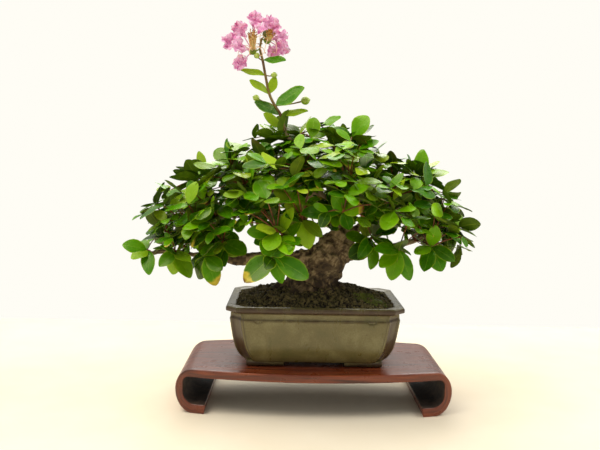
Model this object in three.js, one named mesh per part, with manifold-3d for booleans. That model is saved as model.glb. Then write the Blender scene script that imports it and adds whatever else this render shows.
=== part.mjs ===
// A small flowering crape-myrtle bonsai in a glazed rectangular pot, on a scroll-ended wooden stand.
// Millimetres, +Z up. X runs along the pot, and -Y is the side that the tree is shown from.

import * as THREE from 'three';
import { mergeVertices } from 'three/addons/utils/BufferGeometryUtils.js';
import Module from 'manifold-3d';

const wasm = await Module();
wasm.setup();

// ---- Driving dimensions ------------------------------------------------------------------------

const GAP = 0.3; // between any two pieces that rest on or grow out of one another
const SPECK = 0.02; // edges shorter than this are closed up

const STAND = {
  width: 187, // over the two scrolls
  depth: 98.6, // at the middle of its bowed long edges
  bow: 13, // how far each long edge falls back at the ends
  height: 30,
  board: 5.4, // thickness of the board and of the scroll walls
  belly: 16, // height at which a scroll reaches farthest out
  outerReach: 12, // how far in from the end the outer scroll curve starts
  footRun: 20, // from the end of the stand to the inner tip of its foot
  footLean: 0.9, // how far the foot's end face leans inwards
  footThickness: 6.2,
  innerTopRadius: 4,
  innerFootRadius: 8,
};

const POT = {
  width: 120, // over the rim
  depth: 85,
  height: 42.5, // from the feet to the top of the rim
  corner: 7.5, // cut off each corner, measured along a side
  rimWidth: 6,
  rimHeight: 3.5,
  floor: 4,
  footHeight: 3,
  footLength: 26, // of each foot, along the long side
  footDepth: 20, // of each foot, along the short side
  footInset: 1, // of each foot from the edge of the pot's bottom
  holeRadius: 6.5, // of the drainage holes
  holeSpacing: 50,
};

const DRAIN = {
  screen: 22, // side of a drainage screen
  screenThickness: 0.8,
  mesh: 2.6, // side of a hole in the screen
  meshSpacing: 4.4,
  wireRadius: 0.55,
  wireFoot: 10, // how far a leg of the clip reaches outwards under the floor
};

const SOIL = {
  belowRim: 2, // where the soil meets the pot wall
  crown: 9, // height of the mound over the rim
};

const MOSS = { radiusX: 9, radiusY: 6.5, thickness: 2.4, x: 38, y: -21 };

const LEAF = {
  length: 18.5,
  widthShare: 0.58, // of its own length
  thickness: 1,
  sag: 0.12, // of its length, at the tip
  heel: 0.4, // how far its foot runs past the middle of the twig
  roomy: 9.5, // a place that is this far from other leaves is good enough
  tries: 12,
  woodStep: 6, // leaves keep away from points this far apart along the wood
  level: 0.6, // share of its rise that a leaf keeps: they lie flatter than their twigs point
  spots: [0.35, 0.65, 0.95], // shares of its length at which a leaf keeps away from others
};

const TWIG = { baseRadius: 0.95, tipRadius: 0.7, rise: 0.1 };

const FLOWER = {
  blade: 11.5,
  bladeWidth: 11,
  clawRadius: 0.5,
  cupRadius: 2.6,
  tuftRadius: 3.4, // of the stamens taken together
};

// ---- Places that follow from them --------------------------------------------------------------

const potBottomZ = STAND.height + GAP;
const rimZ = potBottomZ + POT.height;
const potFloorZ = potBottomZ + POT.footHeight + POT.floor;

// The pot's outside, from the feet up: how far it stands in from the rim, and the height over the feet.
const POT_OUTLINE = [
  { inset: 12.5, z: POT.footHeight },
  { inset: 9, z: POT.footHeight + 4.5 },
  { inset: 6, z: POT.footHeight + 12.5 },
  { inset: 4.2, z: POT.height - 18 },
  { inset: 3, z: POT.height - 9 },
  { inset: 3.4, z: POT.height - 7.5 },
  { inset: 3.2, z: POT.height - POT.rimHeight - 1.2 },
  { inset: 0, z: POT.height - POT.rimHeight },
  { inset: 0, z: POT.height },
];

// The pot's hollow, from its floor up, measured in the same way.
const POT_HOLLOW = [
  { inset: POT.rimWidth + 8, z: POT.footHeight + POT.floor },
  { inset: POT.rimWidth + 4.5, z: POT.footHeight + POT.floor + 7 },
  { inset: POT.rimWidth + 2, z: POT.footHeight + POT.floor + 17 },
  { inset: POT.rimWidth, z: POT.height - 8 },
];

// The wood, as a grower would name it: points along the middle and the radius at each, with heights over
// the rim. A piece starts inside the one that carries it and is cut to that one's surface.
const WOOD = {
  trunk: {
    parts: [
      { points: [[-4, 0, -8], [-2, 0, 6], [3, 0, 18], [9, 0, 29], [17, 1, 40], [22, 2, 47]],
        radii: [17, 19.5, 15.5, 14.5, 11, 7.5],
        sides: 14 },
      { points: [[6, -1, 24], [-6, -2, 27], [-16, -3, 28]], radii: [10, 8, 5.4], sides: 10 },
      { points: [[14, 1, 28], [22, 1, 31], [29, -1, 33]], radii: [8, 6, 4], sides: 8 },
      { points: [[-6, 0, 10], [-24, -5, 6], [-36, -7, -1]], radii: [9, 5.5, 2.4] },
      { points: [[-4, -4, 10], [-13, -17, 5], [-19, -22, -2]], radii: [9, 5, 2.4] },
      { points: [[2, -4, 9], [10, -17, 5], [14, -22, -2]], radii: [8, 4.6, 2.2] },
      { points: [[4, 0, 10], [20, -6, 5], [31, -9, -2]], radii: [8, 4.6, 2.2] },
      { points: [[2, 4, 10], [12, 15, 5], [18, 21, -2]], radii: [8, 4.8, 2.2] },
      { points: [[-4, 4, 10], [-14, 15, 5], [-22, 21, -2]], radii: [9, 4.8, 2.2] },
    ],
  },
  leader: {
    parts: [{
      points: [[21, 2, 42], [18, 4, 55], [7, 4, 67], [-5, 2, 82], [-12, 0, 95], [-18, -2, 108],
        [-23, -2, 120]],
      radii: [5.6, 5, 4.2, 3.2, 2.4, 1.8, 1.4],
    }],
  },
  left_limb: {
    parts: [{
      points: [[-12, -3, 28], [-33, -6, 29], [-46, -8, 28], [-57, -8, 27], [-67, -6, 33], [-72, -4, 45],
        [-72, -2, 56], [-77, 0, 70], [-79, 1, 80]],
      radii: [4.8, 4.2, 4, 3.8, 3.2, 2.6, 2.1, 1.6, 1.3],
    }],
  },
  left_lateral: {
    parts: [{
      points: [[-65, -6, 30], [-76, -5, 30], [-88, -4, 30], [-101, -6, 32], [-115, -8, 31]],
      radii: [2.2, 1.8, 1.6, 1.4, 1.2],
    }],
  },
  left_upper: {
    parts: [{
      points: [[2, 4, 72], [-14, 0, 76], [-30, -5, 79], [-46, -6, 85], [-56, -8, 90]],
      radii: [2.4, 2.1, 1.8, 1.5, 1.2],
    }],
  },
  front_branch: {
    parts: [{
      points: [[16, 0, 50], [8, -16, 54], [0, -30, 54], [-9, -42, 50], [-18, -50, 44]],
      radii: [2.6, 2.3, 2, 1.7, 1.3],
    }],
  },
  right_branch: {
    parts: [{
      points: [[25, 0, 33], [39, -4, 36], [54, -6, 38], [69, -8, 43], [83, -8, 51], [92, -6, 55]],
      radii: [3.4, 2.8, 2.4, 2, 1.6, 1.2],
    }],
  },
  right_upper: {
    parts: [{
      points: [[22, 3, 46], [31, 5, 50], [38, 6, 56], [48, 6, 61], [59, 8, 71], [67, 6, 80]],
      radii: [3.6, 3, 2.6, 2.2, 1.7, 1.3],
    }],
  },
  apex_branch: {
    parts: [{
      points: [[36, 6, 55], [30, 4, 70], [23, 3, 84], [22, 1, 98], [20, -1, 108]],
      radii: [2.2, 1.9, 1.7, 1.5, 1.2],
    }],
  },
  back_branch: {
    parts: [{
      points: [[20, 4, 44], [24, 20, 50], [28, 36, 56], [25, 50, 62]],
      radii: [2.8, 2.3, 1.8, 1.3],
    }],
  },
  back_left: {
    parts: [{
      points: [[6, 4, 68], [-10, 17, 72], [-28, 30, 75], [-46, 38, 76]],
      radii: [2.4, 2, 1.6, 1.3],
    }],
  },
};

// The leafy shoots: the wood and the point of it that each grows from, where its last leaf ends (height
// over the rim), and how many leaves it bears. One with aims ends where they meet, and bears just those.
// A shoot with the name of the one above forks off that one's twig, at a share of its length.
const SHOOTS = [
  { name: 'shoot_left_tip', from: ['left_lateral', 4], end: [-118, -8, 33],
    aims: [{ end: [-134, -12, 38], width: 12 }, { end: [-126, -20, 29], width: 10 },
      { end: [-114, -22, 19], width: 10 }, { end: [-125, 2, 40], width: 9 }] },
  { name: 'shoot_left_low', from: ['left_lateral', 3], end: [-95, -26, 34],
    aims: [{ end: [-105, -34, 27], width: 10 }, { end: [-84, -32, 18], width: 12.5 },
      { end: [-98, -24, 18], width: 12 }, { end: [-102, -40, 40], width: 10 },
      { end: [-84, -44, 33], width: 9 }] },
  { name: 'shoot_left_outer', from: ['left_lateral', 2], end: [-116, -10, 56], leaves: 9 },
  { name: 'shoot_left_hanging', from: ['left_lateral', 1], end: [-74, -34, 33],
    aims: [{ end: [-66, -38, 14], width: 12.5 }, { end: [-81, -30, 16], width: 12.5 },
      { end: [-62, -46, 27], width: 10 }, { end: [-89, -20, 27], width: 11 },
      { end: [-68, -52, 44], width: 10 }] },
  { name: 'shoot_left_shoulder', from: ['left_limb', 6], end: [-104, 2, 68], leaves: 9 },
  { name: 'shoot_left_shoulder', fork: 0.35, end: [-108, 34, 50], leaves: 8 },
  { name: 'shoot_left_front', from: ['left_limb', 5], end: [-84, -42, 56], leaves: 9 },
  { name: 'shoot_left_front', fork: 0.35, end: [-99, -34, 49], leaves: 8 },
  { name: 'shoot_left_spire', from: ['left_limb', 8], end: [-79, 2, 99], leaves: 7 },
  { name: 'shoot_left_spire', fork: 0.35, end: [-92, -14, 80], leaves: 7 },
  { name: 'shoot_left_inner', from: ['left_limb', 4], end: [-60, -48, 48], leaves: 9 },
  { name: 'shoot_left_inner', fork: 0.35, end: [-71, -26, 75], leaves: 8 },
  { name: 'shoot_left_back', from: ['left_limb', 5], end: [-82, 48, 56], leaves: 9 },
  { name: 'shoot_crown_left', from: ['left_upper', 4], end: [-66, -10, 96], leaves: 8 },
  { name: 'shoot_crown_left', fork: 0.35, end: [-60, 8, 83], leaves: 7 },
  { name: 'shoot_crown_left_front', from: ['left_upper', 3], end: [-52, -46, 76], leaves: 9 },
  { name: 'shoot_crown_left_front', fork: 0.35, end: [-33, -34, 71], leaves: 8 },
  { name: 'shoot_crown_left_back', from: ['back_left', 3], end: [-70, 46, 86], leaves: 9 },
  { name: 'shoot_back_left_mid', from: ['back_left', 2], end: [-42, 52, 100], leaves: 8 },
  { name: 'shoot_back_left_low', from: ['back_left', 1], end: [-16, 52, 60], leaves: 8 },
  { name: 'shoot_crown_left_top', from: ['left_upper', 2], end: [-42, -16, 112], leaves: 9 },
  { name: 'shoot_front_mid', from: ['front_branch', 4], end: [-38, -64, 64], leaves: 9 },
  { name: 'shoot_front_low', from: ['front_branch', 4], end: [-29, -60, 37],
    aims: [{ end: [-46, -68, 22], width: 16.5 }, { end: [-36, -60, 47], width: 9.5 },
      { end: [-22, -66, 21], width: 9.5 }, { end: [-5, -62, 25], width: 15 },
      { end: [-18, -70, 45], width: 9 }] },
  { name: 'shoot_front_drop', from: ['front_branch', 2], end: [-10, -46, 59],
    aims: [{ end: [-5, -50, 41], width: 13 }, { end: [-24, -52, 45], width: 8 },
      { end: [-19, -60, 64], width: 11 }, { end: [3, -52, 50], width: 9 }] },
  { name: 'shoot_front_wide', from: ['front_branch', 1], end: [16, -50, 65],
    aims: [{ end: [-10, -58, 67], width: 14 }, { end: [27, -58, 70], width: 11 },
      { end: [20, -54, 54], width: 10 }, { end: [9, -58, 77], width: 11 }] },
  { name: 'shoot_front_wide', fork: 0.35, end: [14, -54, 74], leaves: 8 },
  { name: 'shoot_leader_front', from: ['leader', 3], end: [-14, -42, 96], leaves: 9 },
  { name: 'shoot_leader_front', fork: 0.35, end: [-11, -36, 81], leaves: 8 },
  { name: 'shoot_leader_left', from: ['leader', 5], end: [-42, -6, 122], leaves: 8 },
  { name: 'shoot_leader_left', fork: 0.35, end: [-31, -22, 99], leaves: 8 },
  { name: 'shoot_leader_right', from: ['leader', 5], end: [-4, -8, 127], leaves: 8 },
  { name: 'shoot_leader_back', from: ['leader', 4], end: [-24, 40, 108], leaves: 9 },
  { name: 'shoot_leader_back', fork: 0.35, end: [8, 42, 92], leaves: 8 },
  { name: 'shoot_apex_left', from: ['apex_branch', 3], end: [6, 4, 128], leaves: 8 },
  { name: 'shoot_apex_left', fork: 0.35, end: [3, -24, 103], leaves: 8 },
  { name: 'shoot_apex_round', from: ['apex_branch', 4], end: [24, -6, 114],
    aims: [{ end: [34, -10, 129], width: 17 }, { end: [42, -6, 111], width: 9 },
      { end: [11, -14, 120], width: 10 }, { end: [22, -20, 105], width: 10 },
      { end: [29, 14, 119], width: 12 }] },
  { name: 'shoot_apex_round', fork: 0.35, end: [43, -14, 104], leaves: 8 },
  { name: 'shoot_apex_front', from: ['apex_branch', 1], end: [16, -48, 88], leaves: 9 },
  { name: 'shoot_apex_back', from: ['apex_branch', 2], end: [28, 44, 106], leaves: 9 },
  { name: 'shoot_right_top', from: ['right_upper', 4], end: [50, 0, 106], leaves: 8 },
  { name: 'shoot_right_spire', from: ['right_upper', 5], end: [88, 4, 98], leaves: 8 },
  { name: 'shoot_right_spire', fork: 0.35, end: [70, -16, 94], leaves: 8 },
  { name: 'shoot_right_spire', fork: 0.35, end: [75, -24, 72], leaves: 8 },
  { name: 'shoot_right_front', from: ['right_upper', 3], end: [52, -42, 76], leaves: 9 },
  { name: 'shoot_right_front', fork: 0.35, end: [36, -30, 83], leaves: 8 },
  { name: 'shoot_right_shoulder', from: ['right_branch', 4], end: [97, 8, 76], leaves: 9 },
  { name: 'shoot_right_shoulder', fork: 0.35, end: [86, -12, 57], leaves: 7 },
  { name: 'shoot_right_tip', from: ['right_branch', 5], end: [109, -8, 42], leaves: 8 },
  { name: 'shoot_right_low', from: ['right_branch', 3], end: [78, -26, 41],
    aims: [{ end: [86, -30, 25], width: 13 }, { end: [72, -36, 26], width: 11 },
      { end: [93, -34, 34], width: 10 }, { end: [78, -40, 55], width: 10 },
      { end: [66, -44, 41], width: 9 }] },
  { name: 'shoot_right_hanging', from: ['right_branch', 2], end: [55, -32, 39],
    aims: [{ end: [50, -36, 19], width: 12.5 }, { end: [65, -34, 19], width: 12 },
      { end: [42, -40, 29], width: 11 }, { end: [55, -50, 50], width: 10 },
      { end: [39, -48, 43], width: 11 }] },
  { name: 'shoot_right_inner', from: ['right_branch', 1], end: [36, -46, 54], leaves: 8 },
  { name: 'shoot_back_right', from: ['back_branch', 2], end: [66, 54, 62], leaves: 9 },
  { name: 'shoot_back_mid', from: ['back_branch', 3], end: [16, 76, 74], leaves: 9 },
];

// The flowering stalk that stands over the crown, with the leaves and buds that it bears.
const STALK = {
  points: [[-23, -2, 118], [-26, -2, 129], [-30, -2, 135], [-34, -2, 143], [-37, -2, 156], [-39, -2, 166],
    [-41, -2, 174], [-40, -2, 181]],
  radii: [1.2, 1.1, 1, 1, 0.9, 0.9, 0.8, 0.8],
  leaves: [
    { from: 5, end: [-23, -6, 167], width: 7 },
    { from: 4, end: [-54, -4, 160], width: 6 },
    { from: 3, end: [-47, -6, 153], width: 6.5 },
    { from: 3, end: [-30, -5, 155], width: 6.5 },
    { from: 2, end: [-10, -8, 148], width: 11.5 },
    { from: 1, end: [-43, -10, 138], width: 9.5 },
    { from: 1, end: [-7, -4, 133], width: 6 },
    { from: 0, end: [-38, 4, 131], width: 7 },
  ],
  buds: [
    { from: 7, centre: [-37, -4, 184], radius: 2.4 },
    { from: 5, centre: [-43, -4, 169], radius: 2 },
    { from: 4, centre: [-31, -4, 156], radius: 2.1 },
    { from: 2, centre: [-43, -5, 140], radius: 2.2 },
    { from: 2, centre: [-9, -3, 139], radius: 2.9 },
  ],
};

const FLOWERS = [
  {
    name: 'flower_left',
    centre: [-46, -4, 172],
    tuft: [-46, -8, 186],
    petals: [[-57, -8, 190], [-44, -3, 199], [-62, -2, 182], [-66, -8, 178], [-58, -12, 174],
      [-56, -6, 161]],
  },
  {
    name: 'flower_right',
    centre: [-36, -1, 180],
    tuft: [-33, -7, 186],
    petals: [[-34, 2, 195], [-29, -5, 190], [-24, -4, 182], [-24, 2, 174], [-40, 9, 190], [-31, 8, 172]],
  },
];

const FINISH = {
  wood: { color: 0x7a3a20, roughness: 0.35 },
  glaze: { color: 0x7d7440, roughness: 0.25 },
  screen: { color: 0x22262a, roughness: 0.7 },
  wire: { color: 0x9a9ca0, roughness: 0.4, metalness: 1 },
  soil: { color: 0x33291c, roughness: 0.95 },
  moss: { color: 0x44601c, roughness: 0.95 },
  bark: { color: 0x6a5236, roughness: 0.85 },
  leaf: { color: 0x4f9a12, roughness: 0.35 },
  petal: { color: 0xf0a0bc, roughness: 0.6 },
};

// ---- Solids ------------------------------------------------------------------------------------

const vec = (p) => new THREE.Vector3(...p);
const overRim = ([x, y, z]) => new THREE.Vector3(x, y, rimZ + z);

function toSolid(source) {
  const geometry = source.clone();
  geometry.deleteAttribute('normal');
  geometry.deleteAttribute('uv');
  const merged = mergeVertices(geometry, 1e-4);
  const index = merged.index.array;
  const place = merged.attributes.position;
  let volume = 0;
  const [a, b, c] = [new THREE.Vector3(), new THREE.Vector3(), new THREE.Vector3()];
  for (let i = 0; i < index.length; i += 3) {
    a.fromBufferAttribute(place, index[i]);
    b.fromBufferAttribute(place, index[i + 1]);
    c.fromBufferAttribute(place, index[i + 2]);
    volume += a.dot(b.cross(c));
  }
  const triVerts = new Uint32Array(index);
  if (volume < 0) {
    for (let i = 0; i < triVerts.length; i += 3) {
      [triVerts[i], triVerts[i + 1]] = [triVerts[i + 1], triVerts[i]];
    }
  }
  return new wasm.Manifold(new wasm.Mesh({
    numProp: 3,
    vertProperties: new Float32Array(place.array),
    triVerts,
  }));
}

function union(solids) {
  return solids.reduce((sum, solid) => sum.add(solid));
}

// Closes up the edges too short to matter, wherever that leaves the skin closed.
function withoutSpecks(p, faces) {
  const corner = (i) => new THREE.Vector3().fromArray(p, 3 * i);
  for (let moved = 1; moved > 0;) {
    moved = 0;
    const beside = new Map();
    for (const face of faces) {
      for (const i of face) {
        const around = beside.get(i) ?? new Set();
        face.forEach((j) => around.add(j));
        beside.set(i, around);
      }
    }
    const merged = new Map();
    const settled = new Set();
    for (const [a, b, c] of faces) {
      for (const [i, j] of [[a, b], [b, c], [c, a]]) {
        const free = !settled.has(i) && !settled.has(j);
        if (free && corner(i).distanceTo(corner(j)) < SPECK) {
          const shared = [...beside.get(i)].filter((k) => k !== i && k !== j && beside.get(j).has(k));
          if (shared.length === 2) {
            merged.set(j, i);
            moved += 1;
            [...beside.get(i), ...beside.get(j)].forEach((k) => settled.add(k));
          }
        }
      }
    }
    faces = faces
      .map((face) => face.map((i) => merged.get(i) ?? i))
      .filter((face) => new Set(face).size === 3);
  }
  return faces;
}

// The largest body among faces, which leaves out any scrap that a cut has parted from it.
function mainBody(p, faces) {
  const parent = Array.from({ length: p.length / 3 }, (_, i) => i);
  const root = (i) => {
    while (parent[i] !== i) {
      i = parent[i];
    }
    return i;
  };
  for (const [a, b, c] of faces) {
    parent[root(a)] = root(b);
    parent[root(b)] = root(c);
  }
  const bodies = new Map();
  for (const face of faces) {
    const body = bodies.get(root(face[0])) ?? { volume: 0, faces: [] };
    const [a, b, c] = face.map((i) => new THREE.Vector3().fromArray(p, 3 * i));
    body.volume += a.dot(b.cross(c));
    body.faces.push(face);
    bodies.set(root(face[0]), body);
  }
  return [...bodies.values()].reduce((best, body) => (body.volume > best.volume ? body : best)).faces;
}

function toGeometry(solid) {
  const { vertProperties: p, triVerts: t } = solid.getMesh();
  const faces = Array.from({ length: t.length / 3 }, (_, i) => [t[3 * i], t[3 * i + 1], t[3 * i + 2]]);
  const geometry = new THREE.BufferGeometry();
  geometry.setAttribute('position', new THREE.BufferAttribute(new Float32Array(p), 3));
  geometry.setIndex(withoutSpecks(p, mainBody(p, faces)).flat());
  return geometry.toNonIndexed();
}

// A closed skin over rings of points, with flat fans over its first and last ring.
function loft(rings) {
  const sides = rings[0].length;
  const points = rings.flat();
  const index = [];
  for (let r = 0; r + 1 < rings.length; r += 1) {
    for (let s = 0; s < sides; s += 1) {
      const a = r * sides + s;
      const b = r * sides + ((s + 1) % sides);
      index.push(a, b, b + sides, a, b + sides, a + sides);
    }
  }
  for (const [ring, start] of [[rings[0], 0], [rings.at(-1), points.length - sides]]) {
    const middle = ring.reduce((sum, q) => sum.add(q), new THREE.Vector3()).divideScalar(sides);
    const centre = points.push(middle) - 1;
    for (let s = 0; s < sides; s += 1) {
      const pair = [start + s, start + ((s + 1) % sides)];
      index.push(...(start === 0 ? pair.reverse() : pair), centre);
    }
  }
  const geometry = new THREE.BufferGeometry().setFromPoints(points);
  geometry.setIndex(index);
  return toSolid(geometry);
}

// A round limb that tapers along a smooth curve through its points.
function limb({ points, radii, sides = 6, perSpan = 2 }, grow = 0) {
  const curve = new THREE.CatmullRomCurve3(points);
  const steps = (points.length - 1) * perSpan;
  const across = new THREE.Vector3(0.31, 0.87, 0.38);
  const rings = [];
  for (let i = 0; i <= steps; i += 1) {
    const t = i / steps;
    const along = curve.getTangent(t);
    across.addScaledVector(along, -across.dot(along)).normalize();
    const side = new THREE.Vector3().crossVectors(along, across);
    const span = Math.min(Math.floor(i / perSpan), radii.length - 2);
    const radius = THREE.MathUtils.lerp(radii[span], radii[span + 1], i / perSpan - span) + grow;
    const middle = curve.getPoint(t);
    if (i === 0 || i === steps) {
      middle.addScaledVector(along, i === 0 ? -grow : grow);
    }
    rings.push(Array.from({ length: sides }, (_, s) => {
      const angle = (2 * Math.PI * s) / sides;
      return middle.clone()
        .addScaledVector(across, radius * Math.cos(angle))
        .addScaledVector(side, radius * Math.sin(angle));
    }));
  }
  return loft(rings);
}

// A leaf or petal blade: thick along its middle and sharp at its edge, bending down towards its tip.
function blade({ foot, direction, up, length, width, thickness, sag }, grow = 0) {
  const side = new THREE.Vector3().crossVectors(up, direction).normalize();
  const at = (along, across, lift) => foot.clone()
    .addScaledVector(direction, along)
    .addScaledVector(side, across)
    .addScaledVector(up, lift - sag * length * (along / length) ** 2);
  const reach = length + 2 * grow;
  const half = width / 2 + 2 * grow;
  const rim = [
    at(-2 * grow, 0, 0),
    at(0.55 * reach, half, 0),
    at(reach, 0.2 * half, 0),
    at(reach, -0.2 * half, 0),
    at(0.55 * reach, -half, 0),
  ];
  const heart = thickness / 2 + grow;
  const points = [...rim, at(0.5 * length, 0, heart), at(0.5 * length, 0, -heart)];
  const index = [];
  rim.forEach((_, i) => {
    const next = (i + 1) % rim.length;
    index.push(i, next, rim.length, next, i, rim.length + 1);
  });
  const geometry = new THREE.BufferGeometry().setFromPoints(points);
  geometry.setIndex(index);
  return toSolid(geometry);
}

function ball(centre, radius, grow = 0, stretch = [1, 1, 1]) {
  const sphere = new THREE.SphereGeometry(1, 6, 5);
  sphere.scale(...stretch.map((s) => s * radius + grow));
  sphere.translate(...centre.toArray());
  return toSolid(sphere);
}

function plate(width, depth, height, centre, grow = 0) {
  const box = new THREE.BoxGeometry(width + 2 * grow, depth + 2 * grow, height + 2 * grow);
  box.translate(...centre);
  return toSolid(box);
}

// ---- Stand -------------------------------------------------------------------------------------

// Half of the stand's section, from the middle of its top round the scroll to the middle of its underside.
function standHalf() {
  const s = STAND;
  const end = s.width / 2;
  const startX = end - s.outerReach;
  const wall = end - s.board;
  const tip = end - s.footRun;
  const ceiling = s.height - s.board;
  const path = new THREE.Path();
  path.moveTo(startX, s.height);
  path.absellipse(startX, s.belly, s.outerReach, s.height - s.belly, Math.PI / 2, 0, true);
  path.absellipse(startX, s.belly, s.outerReach, s.belly, 0, -Math.PI / 2, true);
  path.lineTo(tip, 0);
  path.lineTo(tip - s.footLean, s.footThickness);
  const floorX = wall - s.innerFootRadius;
  path.lineTo(floorX, s.footThickness);
  path.absarc(floorX, s.footThickness + s.innerFootRadius, s.innerFootRadius, -Math.PI / 2, 0, false);
  path.absarc(wall - s.innerTopRadius, ceiling - s.innerTopRadius, s.innerTopRadius, 0, Math.PI / 2, false);
  return path.getPoints(7);
}

function stand(grow = 0) {
  const right = standHalf();
  const left = right.map((p) => new THREE.Vector2(-p.x, p.y)).reverse();
  const section = new THREE.Shape([...right, ...left]);
  const length = STAND.depth + 10;
  const bent = new THREE.ExtrudeGeometry(section, { depth: length, bevelEnabled: false });
  bent.translate(0, 0, -length / 2);
  bent.rotateX(Math.PI / 2);
  const half = { x: STAND.width / 2 + 1, y: STAND.depth / 2 - STAND.bow };
  const pull = half.y + 2 * STAND.bow;
  const plan = new THREE.Shape();
  plan.moveTo(-half.x, -half.y);
  plan.quadraticCurveTo(0, -pull, half.x, -half.y);
  plan.lineTo(half.x, half.y);
  plan.quadraticCurveTo(0, pull, -half.x, half.y);
  const block = new THREE.ExtrudeGeometry(plan, {
    depth: STAND.height + 2, bevelEnabled: false, curveSegments: 10,
  });
  block.translate(0, 0, -1);
  const solid = toSolid(bent).intersect(toSolid(block));
  if (grow === 0) {
    return solid;
  }
  const board = [0, 0, STAND.height - STAND.board / 2];
  return solid.add(plate(STAND.width, STAND.depth, STAND.board, board, grow));
}

// ---- Pot and what lies in it -------------------------------------------------------------------

// A rectangle with its corners cut off, at one height.
function tray(width, depth, corner, z) {
  const x = width / 2;
  const y = depth / 2;
  return [
    [x, y - corner], [x - corner, y], [corner - x, y], [-x, y - corner],
    [-x, corner - y], [corner - x, -y], [x - corner, -y], [x, corner - y],
  ].map(([px, py]) => new THREE.Vector3(px, py, z));
}

function potRing(inset, z, grow = 0) {
  return tray(POT.width - 2 * inset + 2 * grow, POT.depth - 2 * inset + 2 * grow, POT.corner, z);
}

function potShell(grow = 0) {
  return loft(POT_OUTLINE.map(({ inset, z }) => potRing(inset, potBottomZ + z, grow)));
}

// What the pot holds: the inside, from its floor to a height, in from the wall by a clearance.
function potInside(topZ, clearance = 0) {
  const rings = POT_HOLLOW.map(({ inset, z }) => potRing(inset + clearance, potBottomZ + z + clearance));
  return [...rings, potRing(POT_HOLLOW.at(-1).inset + clearance, topZ)];
}

const drainX = [-POT.holeSpacing / 2, POT.holeSpacing / 2];

function pot() {
  let solid = potShell();
  const feet = [];
  const inset = POT_OUTLINE[0].inset + POT.footInset;
  const bottom = { x: POT.width / 2 - inset, y: POT.depth / 2 - inset };
  for (const sx of [-1, 1]) {
    for (const sy of [-1, 1]) {
      const middle = [
        sx * (bottom.x - POT.footLength / 2),
        sy * (bottom.y - POT.footDepth / 2),
        potBottomZ + POT.footHeight / 2 + 0.5,
      ];
      feet.push(plate(POT.footLength, POT.footDepth, POT.footHeight + 1, middle));
    }
  }
  solid = union([solid, ...feet]);
  solid = solid.subtract(loft(potInside(rimZ + 1)));
  for (const x of drainX) {
    const hole = new THREE.CylinderGeometry(POT.holeRadius, POT.holeRadius, 30, 20);
    hole.rotateX(Math.PI / 2);
    hole.translate(x, 0, potBottomZ + 8);
    solid = solid.subtract(toSolid(hole));
  }
  return solid;
}

function screen(x, grow = 0) {
  const z = potFloorZ + GAP + DRAIN.screenThickness / 2;
  let solid = plate(DRAIN.screen, DRAIN.screen, DRAIN.screenThickness, [x, 0, z], grow);
  if (grow === 0) {
    for (const i of [-1, 0, 1]) {
      for (const j of [-1, 0, 1]) {
        const middle = [x + i * DRAIN.meshSpacing, j * DRAIN.meshSpacing, z];
        solid = solid.subtract(plate(DRAIN.mesh, DRAIN.mesh, 4, middle));
      }
    }
  }
  return solid;
}

// The wire that holds a screen: over the mesh, down through the hole and out under the floor.
function drainClip(x, grow = 0) {
  const over = potFloorZ + 2 * GAP + DRAIN.screenThickness + DRAIN.wireRadius;
  const under = potBottomZ + POT.footHeight - GAP - DRAIN.wireRadius;
  const leg = DRAIN.meshSpacing;
  const half = [
    [0, 0, over], [leg - 0.8, 0, over], [leg, 0, over - 1.2], [leg, 0, under + 1],
    [leg + 1, 0, under], [DRAIN.wireFoot, 0, under],
  ];
  const whole = [...half.slice(1).reverse().map(([px, py, pz]) => [-px, py, pz]), ...half];
  const points = whole.map(([px, py, pz]) => new THREE.Vector3(x + px, py, pz));
  return limb({ points, radii: points.map(() => DRAIN.wireRadius), sides: 6, perSpan: 1 }, grow);
}

function soilTop(share) {
  const edge = rimZ - SOIL.belowRim;
  return edge + (SOIL.crown + SOIL.belowRim) * (1 - share * share);
}

function soil(grow = 0) {
  const rings = potInside(rimZ - SOIL.belowRim, GAP - grow);
  const wall = POT.rimWidth + GAP - grow;
  for (const share of [0.85, 0.65, 0.42, 0.18]) {
    const width = (POT.width - 2 * wall) * share;
    const depth = (POT.depth - 2 * wall) * share;
    rings.push(tray(width, depth, POT.corner * share, soilTop(share) + grow));
  }
  return loft(rings);
}

function moss(grow = 0) {
  const shareX = MOSS.x / (POT.width / 2 - POT.rimWidth);
  const shareY = MOSS.y / (POT.depth / 2 - POT.rimWidth);
  const height = soilTop(Math.max(Math.abs(shareX), Math.abs(shareY)));
  const size = [MOSS.radiusX, MOSS.radiusY, MOSS.thickness];
  return ball(new THREE.Vector3(MOSS.x, MOSS.y, height), 1, grow, size);
}

// ---- Wood --------------------------------------------------------------------------------------

function wood(name, grow = 0) {
  return union(WOOD[name].parts.map((part) => limb({ ...part, points: part.points.map(overRim) }, grow)));
}

// ---- Leaves ------------------------------------------------------------------------------------

// The same run of numbers from 0 to 1 each time.
function dice(seed) {
  let state = seed;
  return () => {
    state = (state * 48271) % 2147483647;
    return state / 2147483647;
  };
}

const roll = dice(2024);
const crownHeart = [0, 0, 46];
const turn = Math.PI * (3 - Math.sqrt(5));
const taken = [];

function along(twig, t) {
  return new THREE.QuadraticBezierCurve3(...twig).getPoint(t);
}

function room(points) {
  let nearest = Infinity;
  for (const p of points) {
    for (const q of taken) {
      nearest = Math.min(nearest, p.distanceToSquared(q));
    }
  }
  return Math.sqrt(nearest);
}

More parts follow.
